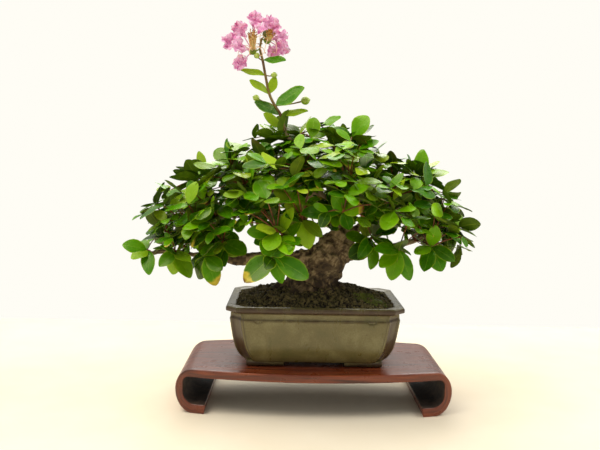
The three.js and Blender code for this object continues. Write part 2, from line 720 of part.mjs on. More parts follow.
// Where the leaves of a shoot go. Each takes the roomiest of a few places round the twig, faces up and
// outwards, and hangs the more the lower it is.
function leafPlan(shoot, stem) {
  const start = stem ? along(stem, shoot.fork) : vec(WOOD[shoot.from[0]].parts[0].points[shoot.from[1]]);
  const end = vec(shoot.end);
  const axis = end.clone().sub(start).normalize();
  const span = start.distanceTo(end);
  const tip = end.clone().addScaledVector(axis, shoot.aims ? 0 : -Math.min(LEAF.length, 0.6 * span));
  const bend = start.clone().lerp(tip, 0.5).add(new THREE.Vector3(0, 0, TWIG.rise * span));
  const twig = [start, bend, tip];
  const u = new THREE.Vector3(axis.y, -axis.x, 0).normalize();
  const v = new THREE.Vector3().crossVectors(u, axis);
  if (shoot.aims) {
    const aimedLeaves = shoot.aims.map((aim) => aimed(tip, vec(aim.end), aim.width));
    for (const { foot, direction, length } of aimedLeaves) {
      taken.push(...LEAF.spots.map((s) => foot.clone().addScaledVector(direction, s * length)));
    }
    return { twig, leaves: aimedLeaves };
  }
  const leaves = [];
  for (let i = 0; i < shoot.leaves; i += 1) {
    const last = i === shoot.leaves - 1;
    const foot = along(twig, last ? 1 : 0.25 + (0.72 * i) / (shoot.leaves - 1));
    const out = foot.clone().sub(vec(crownHeart)).normalize();
    const length = LEAF.length * (0.78 + 0.42 * roll());
    const hang = 0.1 + 0.45 * roll() + (foot.z < 50 ? 0.35 : 0);
    const lean = [roll() - 0.5, roll() - 0.5, roll() - 0.5];
    let best = null;
    for (let k = 0; k < LEAF.tries && (best === null || best.room < LEAF.roomy); k += 1) {
      const angle = turn * i + 1.05 * k;
      const direction = axis.clone().multiplyScalar(0.4)
        .addScaledVector(u, (last ? 0.15 : 1) * Math.cos(angle))
        .addScaledVector(v, (last ? 0.15 : 1) * Math.sin(angle))
        .addScaledVector(out, 0.3);
      direction.z = LEAF.level * direction.z - (last ? 0.3 * hang : hang);
      direction.normalize();
      const spots = LEAF.spots.map((s) => foot.clone().addScaledVector(direction, s * length));
      const free = room(spots);
      if (best === null || free > best.room) {
        best = { room: free, direction, spots };
      }
    }
    taken.push(...best.spots);
    const up = new THREE.Vector3(0, 0, 0.7).addScaledVector(out, 0.75).addScaledVector(vec(lean), 0.6);
    up.addScaledVector(best.direction, -up.dot(best.direction)).normalize();
    leaves.push({ foot, direction: best.direction, up, length });
  }
  return { twig, leaves };
}

function leaf({ foot, direction, up, length, width = length * LEAF.widthShare }, grow) {
  return blade({
    foot: foot.clone().addScaledVector(direction, -LEAF.heel),
    direction,
    up,
    length: length + LEAF.heel,
    width,
    thickness: LEAF.thickness,
    sag: LEAF.sag,
  }, grow);
}

function liftToRim(point) {
  return point.clone().setZ(point.z + rimZ);
}

function shootSolid({ twig, leaves }, grow = 0) {
  const points = [0, 1 / 3, 2 / 3, 1].map((t) => liftToRim(along(twig, t)));
  const radii = [0, 1 / 3, 2 / 3, 1].map((t) => THREE.MathUtils.lerp(TWIG.baseRadius, TWIG.tipRadius, t));
  const stem = limb({ points, radii, sides: 4, perSpan: 1 }, grow);
  return union([stem, ...leaves.map((one) => leaf({ ...one, foot: liftToRim(one.foot) }, grow))]);
}

// ---- Flowering stalk ---------------------------------------------------------------------------

// A leaf from its foot to its end, facing the side that the tree is shown from.
function aimed(foot, end, width) {
  const direction = end.clone().sub(foot);
  const length = direction.length();
  direction.normalize();
  const up = new THREE.Vector3(0, -0.75, 0.65);
  up.addScaledVector(direction, -up.dot(direction)).normalize();
  return { foot, direction, up, length, width };
}

function stalk(grow = 0) {
  const points = STALK.points.map(overRim);
  const pieces = [limb({ points, radii: STALK.radii, sides: 6 }, grow)];
  for (const { from, end, width } of STALK.leaves) {
    pieces.push(leaf(aimed(points[from], overRim(end), width), grow));
  }
  for (const { from, centre, radius } of STALK.buds) {
    const middle = overRim(centre);
    const half = points[from].clone().lerp(middle, 0.5);
    const pedicel = { points: [points[from], half, middle], radii: [0.6, 0.6, 0.7], sides: 4, perSpan: 1 };
    pieces.push(limb(pedicel, grow), ball(middle, radius, grow));
  }
  return union(pieces);
}

function flower({ centre, tuft, petals }, grow = 0) {
  const heart = overRim(centre);
  const pieces = [ball(heart, FLOWER.cupRadius, grow)];
  const tip = overRim(tuft);
  const middle = heart.clone().lerp(tip, 0.6);
  const tuftRadii = [1.2, FLOWER.tuftRadius, 1];
  pieces.push(limb({ points: [heart, middle, tip], radii: tuftRadii, perSpan: 1 }, grow));
  for (const place of petals) {
    const target = overRim(place);
    const direction = target.clone().sub(heart).normalize();
    const reach = heart.distanceTo(target);
    const foot = heart.clone().addScaledVector(direction, Math.max(2, reach - FLOWER.blade / 2));
    const up = new THREE.Vector3(0, -1, 0.25);
    up.addScaledVector(direction, -up.dot(direction)).normalize();
    const clawEnd = foot.clone().addScaledVector(direction, 2);
    const clawRadii = [FLOWER.clawRadius, FLOWER.clawRadius];
    pieces.push(limb({ points: [heart, clawEnd], radii: clawRadii, sides: 4, perSpan: 1 }, grow));
    pieces.push(blade({
      foot, direction, up, length: FLOWER.blade, width: FLOWER.bladeWidth, thickness: 1.1, sag: -0.08,
    }, grow));
  }
  return union(pieces);
}

// ---- Assembly ----------------------------------------------------------------------------------

const group = new THREE.Group();
const placed = [];

function boxOf(solid) {
  return new THREE.Box3().setFromArray(solid.getMesh().vertProperties);
}

// Adds a piece, cut back to a gap from each piece that is there already. make(grow) gives its solid,
// larger all round by grow.
function add(name, finish, make, reserve = true) {
  let solid = make(0);
  const box = boxOf(solid);
  for (const other of placed.filter((one) => one.box.intersectsBox(box))) {
    solid = solid.subtract(other.grown);
  }
  const mesh = new THREE.Mesh(toGeometry(solid), new THREE.MeshStandardMaterial(FINISH[finish]));
  mesh.name = name;
  mesh.geometry.computeVertexNormals();
  group.add(mesh);
  if (reserve) {
    const grown = make(GAP);
    placed.push({ grown, box: boxOf(grown) });
  }
}

for (const { points } of Object.values(WOOD).flatMap((one) => one.parts)) {
  points.slice(1).forEach((point, i) => {
    const before = vec(points[i]);
    const count = Math.ceil(before.distanceTo(vec(point)) / LEAF.woodStep);
    for (let k = 0; k < count; k += 1) {
      taken.push(before.clone().lerp(vec(point), k / count));
    }
  });
}

add('stand', 'wood', stand, false);
add('pot', 'glaze', pot, false);
drainX.forEach((x, i) => {
  const side = i === 0 ? 'left' : 'right';
  add(`drain_clip_${side}`, 'wire', (grow) => drainClip(x, grow));
  add(`drain_screen_${side}`, 'screen', (grow) => screen(x, grow));
});
add('trunk', 'bark', (grow) => wood('trunk', grow));
add('soil', 'soil', soil);
add('moss', 'moss', moss);
for (const name of Object.keys(WOOD).filter((one) => one !== 'trunk')) {
  add(name, 'bark', (grow) => wood(name, grow));
}
add('flower_stalk', 'leaf', stalk);
for (const one of FLOWERS) {
  add(one.name, 'petal', (grow) => flower(one, grow));
}
for (const name of new Set(SHOOTS.map((shoot) => shoot.name))) {
  const plans = [];
  for (const shoot of SHOOTS.filter((one) => one.name === name)) {
    plans.push(leafPlan(shoot, plans[0]?.twig));
  }
  add(name, 'leaf', (grow) => union(plans.map((plan) => shootSolid(plan, grow))));
}

// The whole stands on z = 0, centred over the origin.
const extent = new THREE.Box3().setFromObject(group);
const middle = extent.getCenter(new THREE.Vector3());
group.position.set(-middle.x, -middle.y, -extent.min.z);

export default group;
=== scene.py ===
"""Looks for a small flowering crape myrtle in a glazed pot, on a scroll-ended wooden stand.

Every piece is shaped in millimetres round the middle of the pot, with heights from the table, and is moved
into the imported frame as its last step. Wood and shoots follow the same grower's tables as their solids.
"""

import sys
import logging
import math
import random
from collections.abc import Callable, Iterable, Sequence
from dataclasses import dataclass, field
from enum import IntEnum
from functools import partial
from itertools import product

import bmesh
import bpy
from mathutils import Matrix, Vector, kdtree, noise


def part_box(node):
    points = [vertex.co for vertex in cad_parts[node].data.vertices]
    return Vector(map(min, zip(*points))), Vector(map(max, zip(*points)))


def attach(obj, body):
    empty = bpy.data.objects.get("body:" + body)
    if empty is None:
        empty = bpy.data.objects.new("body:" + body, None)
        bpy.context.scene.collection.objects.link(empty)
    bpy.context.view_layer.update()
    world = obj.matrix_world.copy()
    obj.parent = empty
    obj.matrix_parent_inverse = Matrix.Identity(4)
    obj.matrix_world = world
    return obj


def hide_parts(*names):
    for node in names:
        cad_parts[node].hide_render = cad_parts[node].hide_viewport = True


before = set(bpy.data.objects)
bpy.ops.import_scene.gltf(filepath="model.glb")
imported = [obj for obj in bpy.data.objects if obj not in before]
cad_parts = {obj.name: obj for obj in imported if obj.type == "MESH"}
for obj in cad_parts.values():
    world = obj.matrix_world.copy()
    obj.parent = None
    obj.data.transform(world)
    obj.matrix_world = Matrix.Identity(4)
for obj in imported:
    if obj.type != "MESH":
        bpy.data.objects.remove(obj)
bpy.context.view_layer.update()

log = logging.getLogger("bonsai")

Point = tuple[float, float, float]
Colour = tuple[float, float, float, float]
Line = list[tuple[Vector, float]]
Place = Callable[[float, float], Vector]  # gives a point for a share across and a share along

METRES = 0.001  # in a millimetre
SEAM = 0.002  # millimetres between points that are one point
GOLDEN_TURN = math.pi * (3 - math.sqrt(5))


# ---- The tree as its grower would write it down --------------------------------------------------


@dataclass(frozen=True)
class Limb:
    """A round limb: points along its middle, with heights over the rim, and the radius at each."""

    points: tuple[Point, ...]
    radii: tuple[float, ...]


@dataclass(frozen=True)
class Aim:
    """A leaf of a shoot that is listed one by one: its tip, with its height over the rim, and its width."""

    end: Point
    width: float
    burn: float = 0.0  # how much of its tip is burnt


@dataclass(frozen=True)
class Shoot:
    """A leafy shoot. It grows from a point of the wood, or forks off the twig of the first of its name."""

    name: str
    end: Point  # where its last leaf ends, or where its aimed leaves meet
    branch: str = ""
    knot: int = 0  # the branch's point that it grows from
    leaves: int = 0
    aims: tuple[Aim, ...] = ()


@dataclass(frozen=True)
class AimedLeaf:
    """A leaf of the flowering stalk: the stalk's point that it grows from, its tip and its width."""

    knot: int
    end: Point
    width: float


@dataclass(frozen=True)
class Bud:
    """A flower bud: the stalk's point that it grows from, its middle and its radius."""

    knot: int
    centre: Point
    radius: float


@dataclass(frozen=True)
class Flower:
    """An open flower: its cup, the top of its stamens, and the middle of each petal."""

    name: str
    centre: Point
    tuft: Point
    petals: tuple[Point, ...]


WOOD: dict[str, tuple[Limb, ...]] = {
    "trunk": (
        Limb(
            ((-4, 0, -8), (-2, 0, 6), (3, 0, 18), (9, 0, 29), (17, 1, 40), (22, 2, 47)),
            (17, 19.5, 15.5, 14.5, 11, 7.5),
        ),
        Limb(((6, -1, 24), (-6, -2, 27), (-16, -3, 28)), (10, 8, 5.4)),
        Limb(((14, 1, 28), (22, 1, 31), (29, -1, 33)), (8, 6, 4)),
        Limb(((-6, 0, 10), (-24, -5, 6), (-36, -7, -1)), (9, 5.5, 2.4)),
        Limb(((-4, -4, 10), (-13, -17, 5), (-19, -22, -2)), (9, 5, 2.4)),
        Limb(((2, -4, 9), (10, -17, 5), (14, -22, -2)), (8, 4.6, 2.2)),
        Limb(((4, 0, 10), (20, -6, 5), (31, -9, -2)), (8, 4.6, 2.2)),
        Limb(((2, 4, 10), (12, 15, 5), (18, 21, -2)), (8, 4.8, 2.2)),
        Limb(((-4, 4, 10), (-14, 15, 5), (-22, 21, -2)), (9, 4.8, 2.2)),
    ),
    "leader": (Limb(
        ((21, 2, 42), (18, 4, 55), (7, 4, 67), (-5, 2, 82), (-12, 0, 95), (-18, -2, 108), (-23, -2, 120)),
        (5.6, 5, 4.2, 3.2, 2.4, 1.8, 1.4),
    ),),
    "left_limb": (Limb(
        ((-12, -3, 28), (-33, -6, 29), (-46, -8, 28), (-57, -8, 27), (-67, -6, 33), (-72, -4, 45),
         (-72, -2, 56), (-77, 0, 70), (-79, 1, 80)),
        (4.8, 4.2, 4, 3.8, 3.2, 2.6, 2.1, 1.6, 1.3),
    ),),
    "left_lateral": (Limb(
        ((-65, -6, 30), (-76, -5, 30), (-88, -4, 30), (-101, -6, 32), (-115, -8, 31)),
        (2.2, 1.8, 1.6, 1.4, 1.2),
    ),),
    "left_upper": (Limb(
        ((2, 4, 72), (-14, 0, 76), (-30, -5, 79), (-46, -6, 85), (-56, -8, 90)),
        (2.4, 2.1, 1.8, 1.5, 1.2),
    ),),
    "front_branch": (Limb(
        ((16, 0, 50), (8, -16, 54), (0, -30, 54), (-9, -42, 50), (-18, -50, 44)),
        (2.6, 2.3, 2, 1.7, 1.3),
    ),),
    "right_branch": (Limb(
        ((25, 0, 33), (39, -4, 36), (54, -6, 38), (69, -8, 43), (83, -8, 51), (92, -6, 55)),
        (3.4, 2.8, 2.4, 2, 1.6, 1.2),
    ),),
    "right_upper": (Limb(
        ((22, 3, 46), (31, 5, 50), (38, 6, 56), (48, 6, 61), (59, 8, 71), (67, 6, 80)),
        (3.6, 3, 2.6, 2.2, 1.7, 1.3),
    ),),
    "apex_branch": (Limb(
        ((36, 6, 55), (30, 4, 70), (23, 3, 84), (22, 1, 98), (20, -1, 108)),
        (2.2, 1.9, 1.7, 1.5, 1.2),
    ),),
    "back_branch": (Limb(((20, 4, 44), (24, 20, 50), (28, 36, 56), (25, 50, 62)), (2.8, 2.3, 1.8, 1.3)),),
    "back_left": (Limb(((6, 4, 68), (-10, 17, 72), (-28, 30, 75), (-46, 38, 76)), (2.4, 2, 1.6, 1.3)),),
}

SHOOTS = (
    Shoot("shoot_left_tip", (-118, -8, 33), "left_lateral", 4, aims=(
        Aim((-134, -12, 38), 12), Aim((-126, -20, 29), 10), Aim((-114, -22, 19), 10),
        Aim((-125, 2, 40), 9),
    )),
    Shoot("shoot_left_low", (-95, -26, 34), "left_lateral", 3, aims=(
        Aim((-105, -34, 27), 10), Aim((-84, -32, 18), 12.5), Aim((-98, -24, 18), 12),
        Aim((-102, -40, 40), 10), Aim((-84, -44, 33), 9),
    )),
    Shoot("shoot_left_outer", (-116, -10, 56), "left_lateral", 2, leaves=9),
    Shoot("shoot_left_hanging", (-74, -34, 33), "left_lateral", 1, aims=(
        Aim((-66, -38, 14), 12.5, 0.7), Aim((-81, -30, 16), 12.5), Aim((-62, -46, 27), 10),
        Aim((-89, -20, 27), 11), Aim((-68, -52, 44), 10),
    )),
    Shoot("shoot_left_shoulder", (-104, 2, 68), "left_limb", 6, leaves=9),
    Shoot("shoot_left_shoulder", (-108, 34, 50), leaves=8),
    Shoot("shoot_left_front", (-84, -42, 56), "left_limb", 5, leaves=9),
    Shoot("shoot_left_front", (-99, -34, 49), leaves=8),
    Shoot("shoot_left_spire", (-79, 2, 99), "left_limb", 8, leaves=7),
    Shoot("shoot_left_spire", (-92, -14, 80), leaves=7),
    Shoot("shoot_left_inner", (-60, -48, 48), "left_limb", 4, leaves=9),
    Shoot("shoot_left_inner", (-71, -26, 75), leaves=8),
    Shoot("shoot_left_back", (-82, 48, 56), "left_limb", 5, leaves=9),
    Shoot("shoot_crown_left", (-66, -10, 96), "left_upper", 4, leaves=8),
    Shoot("shoot_crown_left", (-60, 8, 83), leaves=7),
    Shoot("shoot_crown_left_front", (-52, -46, 76), "left_upper", 3, leaves=9),
    Shoot("shoot_crown_left_front", (-33, -34, 71), leaves=8),
    Shoot("shoot_crown_left_back", (-70, 46, 86), "back_left", 3, leaves=9),
    Shoot("shoot_back_left_mid", (-42, 52, 100), "back_left", 2, leaves=8),
    Shoot("shoot_back_left_low", (-16, 52, 60), "back_left", 1, leaves=8),
    Shoot("shoot_crown_left_top", (-42, -16, 112), "left_upper", 2, leaves=9),
    Shoot("shoot_front_mid", (-38, -64, 64), "front_branch", 4, leaves=9),
    Shoot("shoot_front_low", (-29, -60, 37), "front_branch", 4, aims=(
        Aim((-46, -68, 22), 16.5, 1.0), Aim((-36, -60, 47), 9.5), Aim((-22, -66, 21), 9.5),
        Aim((-5, -62, 25), 15), Aim((-18, -70, 45), 9),
    )),
    Shoot("shoot_front_drop", (-10, -46, 59), "front_branch", 2, aims=(
        Aim((-5, -50, 41), 13), Aim((-24, -52, 45), 8), Aim((-19, -60, 64), 11), Aim((3, -52, 50), 9),
    )),
    Shoot("shoot_front_wide", (16, -50, 65), "front_branch", 1, aims=(
        Aim((-10, -58, 67), 14), Aim((27, -58, 70), 11, 0.8), Aim((20, -54, 54), 10), Aim((9, -58, 77), 11),
    )),
    Shoot("shoot_front_wide", (14, -54, 74), leaves=8),
    Shoot("shoot_leader_front", (-14, -42, 96), "leader", 3, leaves=9),
    Shoot("shoot_leader_front", (-11, -36, 81), leaves=8),
    Shoot("shoot_leader_left", (-42, -6, 122), "leader", 5, leaves=8),
    Shoot("shoot_leader_left", (-31, -22, 99), leaves=8),
    Shoot("shoot_leader_right", (-4, -8, 127), "leader", 5, leaves=8),
    Shoot("shoot_leader_back", (-24, 40, 108), "leader", 4, leaves=9),
    Shoot("shoot_leader_back", (8, 42, 92), leaves=8),
    Shoot("shoot_apex_left", (6, 4, 128), "apex_branch", 3, leaves=8),
    Shoot("shoot_apex_left", (3, -24, 103), leaves=8),
    Shoot("shoot_apex_round", (24, -6, 114), "apex_branch", 4, aims=(
        Aim((34, -10, 129), 15), Aim((42, -6, 111), 9), Aim((11, -14, 120), 10), Aim((22, -20, 105), 10),
        Aim((29, 14, 119), 12),
    )),
    Shoot("shoot_apex_round", (43, -14, 104), leaves=8),
    Shoot("shoot_apex_front", (16, -48, 88), "apex_branch", 1, leaves=9),
    Shoot("shoot_apex_back", (28, 44, 106), "apex_branch", 2, leaves=9),
    Shoot("shoot_right_top", (50, 0, 106), "right_upper", 4, leaves=8),
    Shoot("shoot_right_spire", (88, 4, 98), "right_upper", 5, leaves=8),
    Shoot("shoot_right_spire", (70, -16, 94), leaves=8),
    Shoot("shoot_right_spire", (75, -24, 72), leaves=8),
    Shoot("shoot_right_front", (52, -42, 76), "right_upper", 3, leaves=9),
    Shoot("shoot_right_front", (36, -30, 83), leaves=8),
    Shoot("shoot_right_shoulder", (97, 8, 76), "right_branch", 4, leaves=9),
    Shoot("shoot_right_shoulder", (86, -12, 57), leaves=7),
    Shoot("shoot_right_tip", (109, -8, 42), "right_branch", 5, leaves=8),
    Shoot("shoot_right_low", (78, -26, 41), "right_branch", 3, aims=(
        Aim((86, -30, 25), 13), Aim((72, -36, 26), 11), Aim((93, -34, 34), 10), Aim((78, -40, 55), 10),
        Aim((66, -44, 41), 9),
    )),
    Shoot("shoot_right_hanging", (55, -32, 39), "right_branch", 2, aims=(
        Aim((50, -36, 19), 12.5), Aim((65, -34, 19), 12), Aim((42, -40, 29), 11), Aim((55, -50, 50), 10),
        Aim((39, -48, 43), 11),
    )),
    Shoot("shoot_right_inner", (36, -46, 54), "right_branch", 1, leaves=8),
    Shoot("shoot_back_right", (66, 54, 62), "back_branch", 2, leaves=9),
    Shoot("shoot_back_mid", (16, 76, 74), "back_branch", 3, leaves=9),
)

STALK = Limb(
    ((-23, -2, 118), (-26, -2, 129), (-30, -2, 135), (-34, -2, 143), (-37, -2, 156), (-39, -2, 166),
     (-41, -2, 174), (-40, -2, 181)),
    (1.2, 1.1, 1, 1, 0.9, 0.9, 0.8, 0.8),
)

STALK_LEAVES = (
    AimedLeaf(5, (-23, -6, 167), 7),
    AimedLeaf(4, (-54, -4, 160), 6),
    AimedLeaf(3, (-47, -6, 153), 6.5),
    AimedLeaf(3, (-30, -5, 155), 6.5),
    AimedLeaf(2, (-10, -8, 148), 11.5),
    AimedLeaf(1, (-43, -10, 138), 9.5),
    AimedLeaf(1, (-7, -4, 133), 6),
    AimedLeaf(0, (-38, 4, 131), 7),
)

BUDS = (
    Bud(7, (-37, -4, 184), 2.4),
    Bud(5, (-43, -4, 169), 2),
    Bud(4, (-31, -4, 156), 2.1),
    Bud(2, (-43, -5, 140), 2.2),
    Bud(2, (-9, -3, 139), 2.9),
)

FLOWERS = (
    Flower(
        "flower_left",
        (-46, -4, 172),
        (-46, -8, 186),
        ((-57, -8, 190), (-44, -3, 199), (-62, -2, 182), (-66, -8, 178), (-58, -12, 174), (-56, -6, 161)),
    ),
    Flower(
        "flower_right",
        (-36, -1, 180),
        (-33, -7, 186),
        ((-34, 2, 195), (-29, -5, 190), (-24, -4, 182), (-24, 2, 174), (-40, 9, 190), (-31, 8, 172)),
    ),
)


# ---- Shared tools --------------------------------------------------------------------------------


@dataclass(frozen=True)
class Site:
    """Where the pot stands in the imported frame, in millimetres: its middle and the height of its rim."""

    x: float
    y: float
    rim: float

    @classmethod
    def of_pot(cls) -> "Site":
        """Reads the place from the pot's CAD node."""
        low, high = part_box("pot")
        return cls((low.x + high.x) / 2 / METRES, (low.y + high.y) / 2 / METRES, high.z / METRES)

    def to_frame(self) -> Matrix:
        """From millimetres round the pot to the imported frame."""
        return Matrix.Scale(METRES, 4) @ Matrix.Translation((self.x, self.y, 0))

    def over_rim(self, point: Point) -> Vector:
        """A point of the grower's tables, with its height counted from the table top."""
        return Vector((point[0], point[1], point[2] + self.rim))


def lerp(a: float, b: float, share: float) -> float:
    """The number that lies a share of the way from a to b."""
    return a + (b - a) * share


def clamp(value: float, low: float = 0.0, high: float = 1.0) -> float:
    """The value, kept between low and high."""
    return max(low, min(high, value))


def linear(code: str) -> Colour:
    """The linear colour of an sRGB hex code such as "#7a3a20"."""
    shares = [int(code[i : i + 2], 16) / 255 for i in (1, 3, 5)]
    red, green, blue = (s / 12.92 if s <= 0.04045 else ((s + 0.055) / 1.055) ** 2.4 for s in shares)
    return red, green, blue, 1.0


def square_to(vector: Vector, along: Vector) -> Vector:
    """The unit vector nearest to a vector that is at right angles to a unit vector."""
    return (vector - along * vector.dot(along)).normalized()


def mesh_from(bm: bmesh.types.BMesh, name: str = "work") -> bpy.types.Mesh:
    """A mesh that holds what the bmesh held, which is used up."""
    mesh = bpy.data.meshes.new(name)
    bm.to_mesh(mesh)
    bm.free()
    return mesh


def join(whole: bmesh.types.BMesh, part: bmesh.types.BMesh) -> None:
    """Adds one mesh to another. Many small pieces are made far faster in several parts."""
    mesh = mesh_from(part)
    whole.from_mesh(mesh)
    bpy.data.meshes.remove(mesh)


def put_in_scene(name: str, data: bpy.types.ID) -> bpy.types.Object:
    """An object of that data, in the scene."""
    made = bpy.data.objects.new(name, data)
    bpy.context.scene.collection.objects.link(made)
    return made


def faces_of(verts: Iterable[bmesh.types.BMVert]) -> set[bmesh.types.BMFace]:
    """The faces that touch some vertices."""
    return {face for vert in verts for face in vert.link_faces}


def tangled(draw: random.Random, size: float) -> Vector:
    """A random vector, each part of which is at most that size."""
    return Vector([draw.uniform(-size, size) for _ in range(3)])


def smooth_line(limb: Limb, lift: float, per_span: int) -> Line:
    """A smooth curve through a limb's points, with its radius at each step.

    Args:
        limb: The points and radii.
        lift: Height added to each point.
        per_span: Steps from one point to the next.

    Returns:
        Places along the curve, each with its radius.
    """
    knots = [Vector(p) + Vector((0, 0, lift)) for p in limb.points]
    before = 2 * knots[0] - knots[1]
    after = 2 * knots[-1] - knots[-2]
    ends = [before, *knots, after]
    line: Line = []
    for i in range(len(knots) - 1):
        p0, p1, p2, p3 = ends[i : i + 4]
        d0, d1, d2 = (math.sqrt((b - a).length) for a, b in ((p0, p1), (p1, p2), (p2, p3)))
        leave = ((p1 - p0) / d0 - (p2 - p0) / (d0 + d1) + (p2 - p1) / d1) * d1
        reach = ((p2 - p1) / d1 - (p3 - p1) / (d1 + d2) + (p3 - p2) / d2) * d1
        for step in range(per_span + (i == len(knots) - 2)):
            t = step / per_span
            place = (
                p1 * (2 * t**3 - 3 * t**2 + 1)
                + leave * (t**3 - 2 * t**2 + t)
                + p2 * (3 * t**2 - 2 * t**3)
                + reach * (t**3 - t**2)
            )
            line.append((place, lerp(limb.radii[i], limb.radii[i + 1], t)))
    return line


def bent(places: Sequence[Vector], radii: tuple[float, ...], per_span: int) -> Line:
    """A smooth curve through a few places, with its radius at each step."""
    return smooth_line(Limb(tuple(map(tuple, places)), radii), 0, per_span)


def skin(
    bm: bmesh.types.BMesh,
    across: int,
    along: int,
    place: Place,
    material: int = 0,
    closed: bool = False,
) -> list[bmesh.types.BMVert]:
    """Lays a flat grid over a shape.

    Args:
        bm: The mesh that takes it.
        across: Faces across the grid.
        along: Faces along it.
        place: Gives the point of the shape for a share across and a share along.
        material: The material slot of its faces.
        closed: Joins points that fall together, as on a tube that is closed round and at its ends.

    Returns:
        The grid's vertices.
    """
    made = bmesh.ops.create_grid(bm, x_segments=across, y_segments=along, size=0.5, calc_uvs=True)["verts"]
    for vert in made:
        vert.co = place(clamp(vert.co.x + 0.5), clamp(vert.co.y + 0.5))
    for face in faces_of(made):
        face.material_index = material
        face.smooth = True
    if closed:
        bmesh.ops.remove_doubles(bm, verts=made, dist=SEAM)
        made = [vert for vert in made if vert.is_valid]
    return made


def rod(bm: bmesh.types.BMesh, line: Line, sides: int, material: int = 0) -> list[bmesh.types.BMVert]:
    """A closed round rod along a line of places and radii.

    Args:
        bm: The mesh that takes it.
        line: The places along its middle and the radius at each.
        sides: Faces round it.
        material: The material slot of its faces.

    Returns:
        The rod's vertices.
    """
    across = Vector((0.31, 0.87, 0.38))  # along none of the rods that are made
    rings = []
    for i, (middle, radius) in enumerate(line):
        along = (line[min(i + 1, len(line) - 1)][0] - line[max(i - 1, 0)][0]).normalized()
        across = square_to(across, along)
        rings.append((middle, across * radius, along.cross(across) * radius))
    first, last = line[0][0], line[-1][0]
    rings = [(first, Vector(), Vector()), *rings, (last, Vector(), Vector())]

    def place(u: float, v: float) -> Vector:
        """A point of the rod."""
        middle, first_way, second_way = rings[round(v * (len(rings) - 1))]
        angle = 2 * math.pi * (round(u * sides) % sides) / sides
        return middle + first_way * math.cos(angle) + second_way * math.sin(angle)

    return skin(bm, sides, len(rings) - 1, place, material, closed=True)


def ball(
    bm: bmesh.types.BMesh,
    centre: Vector,
    radius: float,
    axis: Vector = Vector((0, 0, 1)),
    stretch: float = 1.0,
    material: int = 0,
) -> list[bmesh.types.BMVert]:
    """A small ball of 20 faces, stretched along an axis.

    Args:
        bm: The mesh that takes it.
        centre: Its middle.
        radius: Its radius across the axis.
        axis: The way that it is stretched.
        stretch: How many times longer it is along the axis.
        material: The material slot of its faces.

    Returns:
        The ball's vertices.
    """
    turned = axis.to_track_quat("Z", "Y").to_matrix().to_4x4()
    matrix = Matrix.Translation(centre) @ turned @ Matrix.Diagonal((1, 1, stretch, 1))
    made = bmesh.ops.create_icosphere(bm, subdivisions=1, radius=radius, matrix=matrix)["verts"]
    for face in faces_of(made):
        face.material_index = material
        face.smooth = True
    return made


def baked(bm: bmesh.types.BMesh, *modifiers: tuple[str, dict[str, object]]) -> bmesh.types.BMesh:
    """The mesh with modifiers applied.

    Args:
        bm: The mesh, which is used up.
        modifiers: The kind and settings of each, in order.

    Returns:
        A new mesh.
    """
    mesh = mesh_from(bm)
    holder = put_in_scene("work", mesh)
    for kind, settings in modifiers:
        modifier = holder.modifiers.new(kind.lower(), kind)
        for name, value in settings.items():
            setattr(modifier, name, value)
    done = bpy.data.meshes.new_from_object(holder.evaluated_get(bpy.context.evaluated_depsgraph_get()))
    bpy.data.objects.remove(holder)
    bpy.data.meshes.remove(mesh)
    out = bmesh.new()
    out.from_mesh(done)
    bpy.data.meshes.remove(done)
    return out


def number_on(bm: bmesh.types.BMesh, name: str) -> bmesh.types.BMLayerItem:
    """The mesh's own number at each vertex by that name, made if it isn't there yet."""
    return bm.verts.layers.float.get(name) or bm.verts.layers.float.new(name)


@dataclass
class Bench:
    """Turns a finished mesh into a piece of the object."""

    site: Site
    pieces: list[str] = field(default_factory=list)

    def put(
        self,
        bm: bmesh.types.BMesh,
        name: str,
        finishes: Sequence["Finish"],
        replaced: Iterable[str] = (),
        crease: float = 50.0,
    ) -> bpy.types.Object:
        """Moves a mesh into the frame, dresses it and hands it over.

        Args:
            bm: The mesh, in millimetres, which is used up.
            name: The piece's name.
            finishes: A finish for each material slot of the mesh.
            replaced: The CAD nodes that it stands for.
            crease: Edges that turn by more than this many degrees stay crisp.

        Returns:
            The piece.
        """
        bmesh.ops.recalc_face_normals(bm, faces=bm.faces)
        for edge in bm.edges:
            edge.smooth = edge.calc_face_angle(0.0) < math.radians(crease)
        bmesh.ops.transform(bm, matrix=self.site.to_frame(), verts=bm.verts)
        mesh = mesh_from(bm, name)
        for finish in finishes:
            mesh.materials.append(finish.material())
        piece = put_in_scene(name, mesh)
        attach(piece, "root")
        if replaced:
            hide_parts(*replaced)
        self.pieces.append(name)
        log.info("%s: %d faces", name, len(mesh.polygons))
        return piece


# ---- Finishes ------------------------------------------------------------------------------------

AddNode = Callable[..., bpy.types.Node]
Inputs = dict[int | str, object]

ADD = {"operation": "ADD"}
SUBTRACT = {"operation": "SUBTRACT"}
MULTIPLY = {"operation": "MULTIPLY"}
MULTIPLY_ADD = {"operation": "MULTIPLY_ADD"}  # input 0 times input 1, plus input 2
COLOURS = {"data_type": "RGBA"}  # for a Mix node, which then mixes inputs 6 and 7 into output 2
SOFT = {"interpolation_type": "SMOOTHSTEP"}


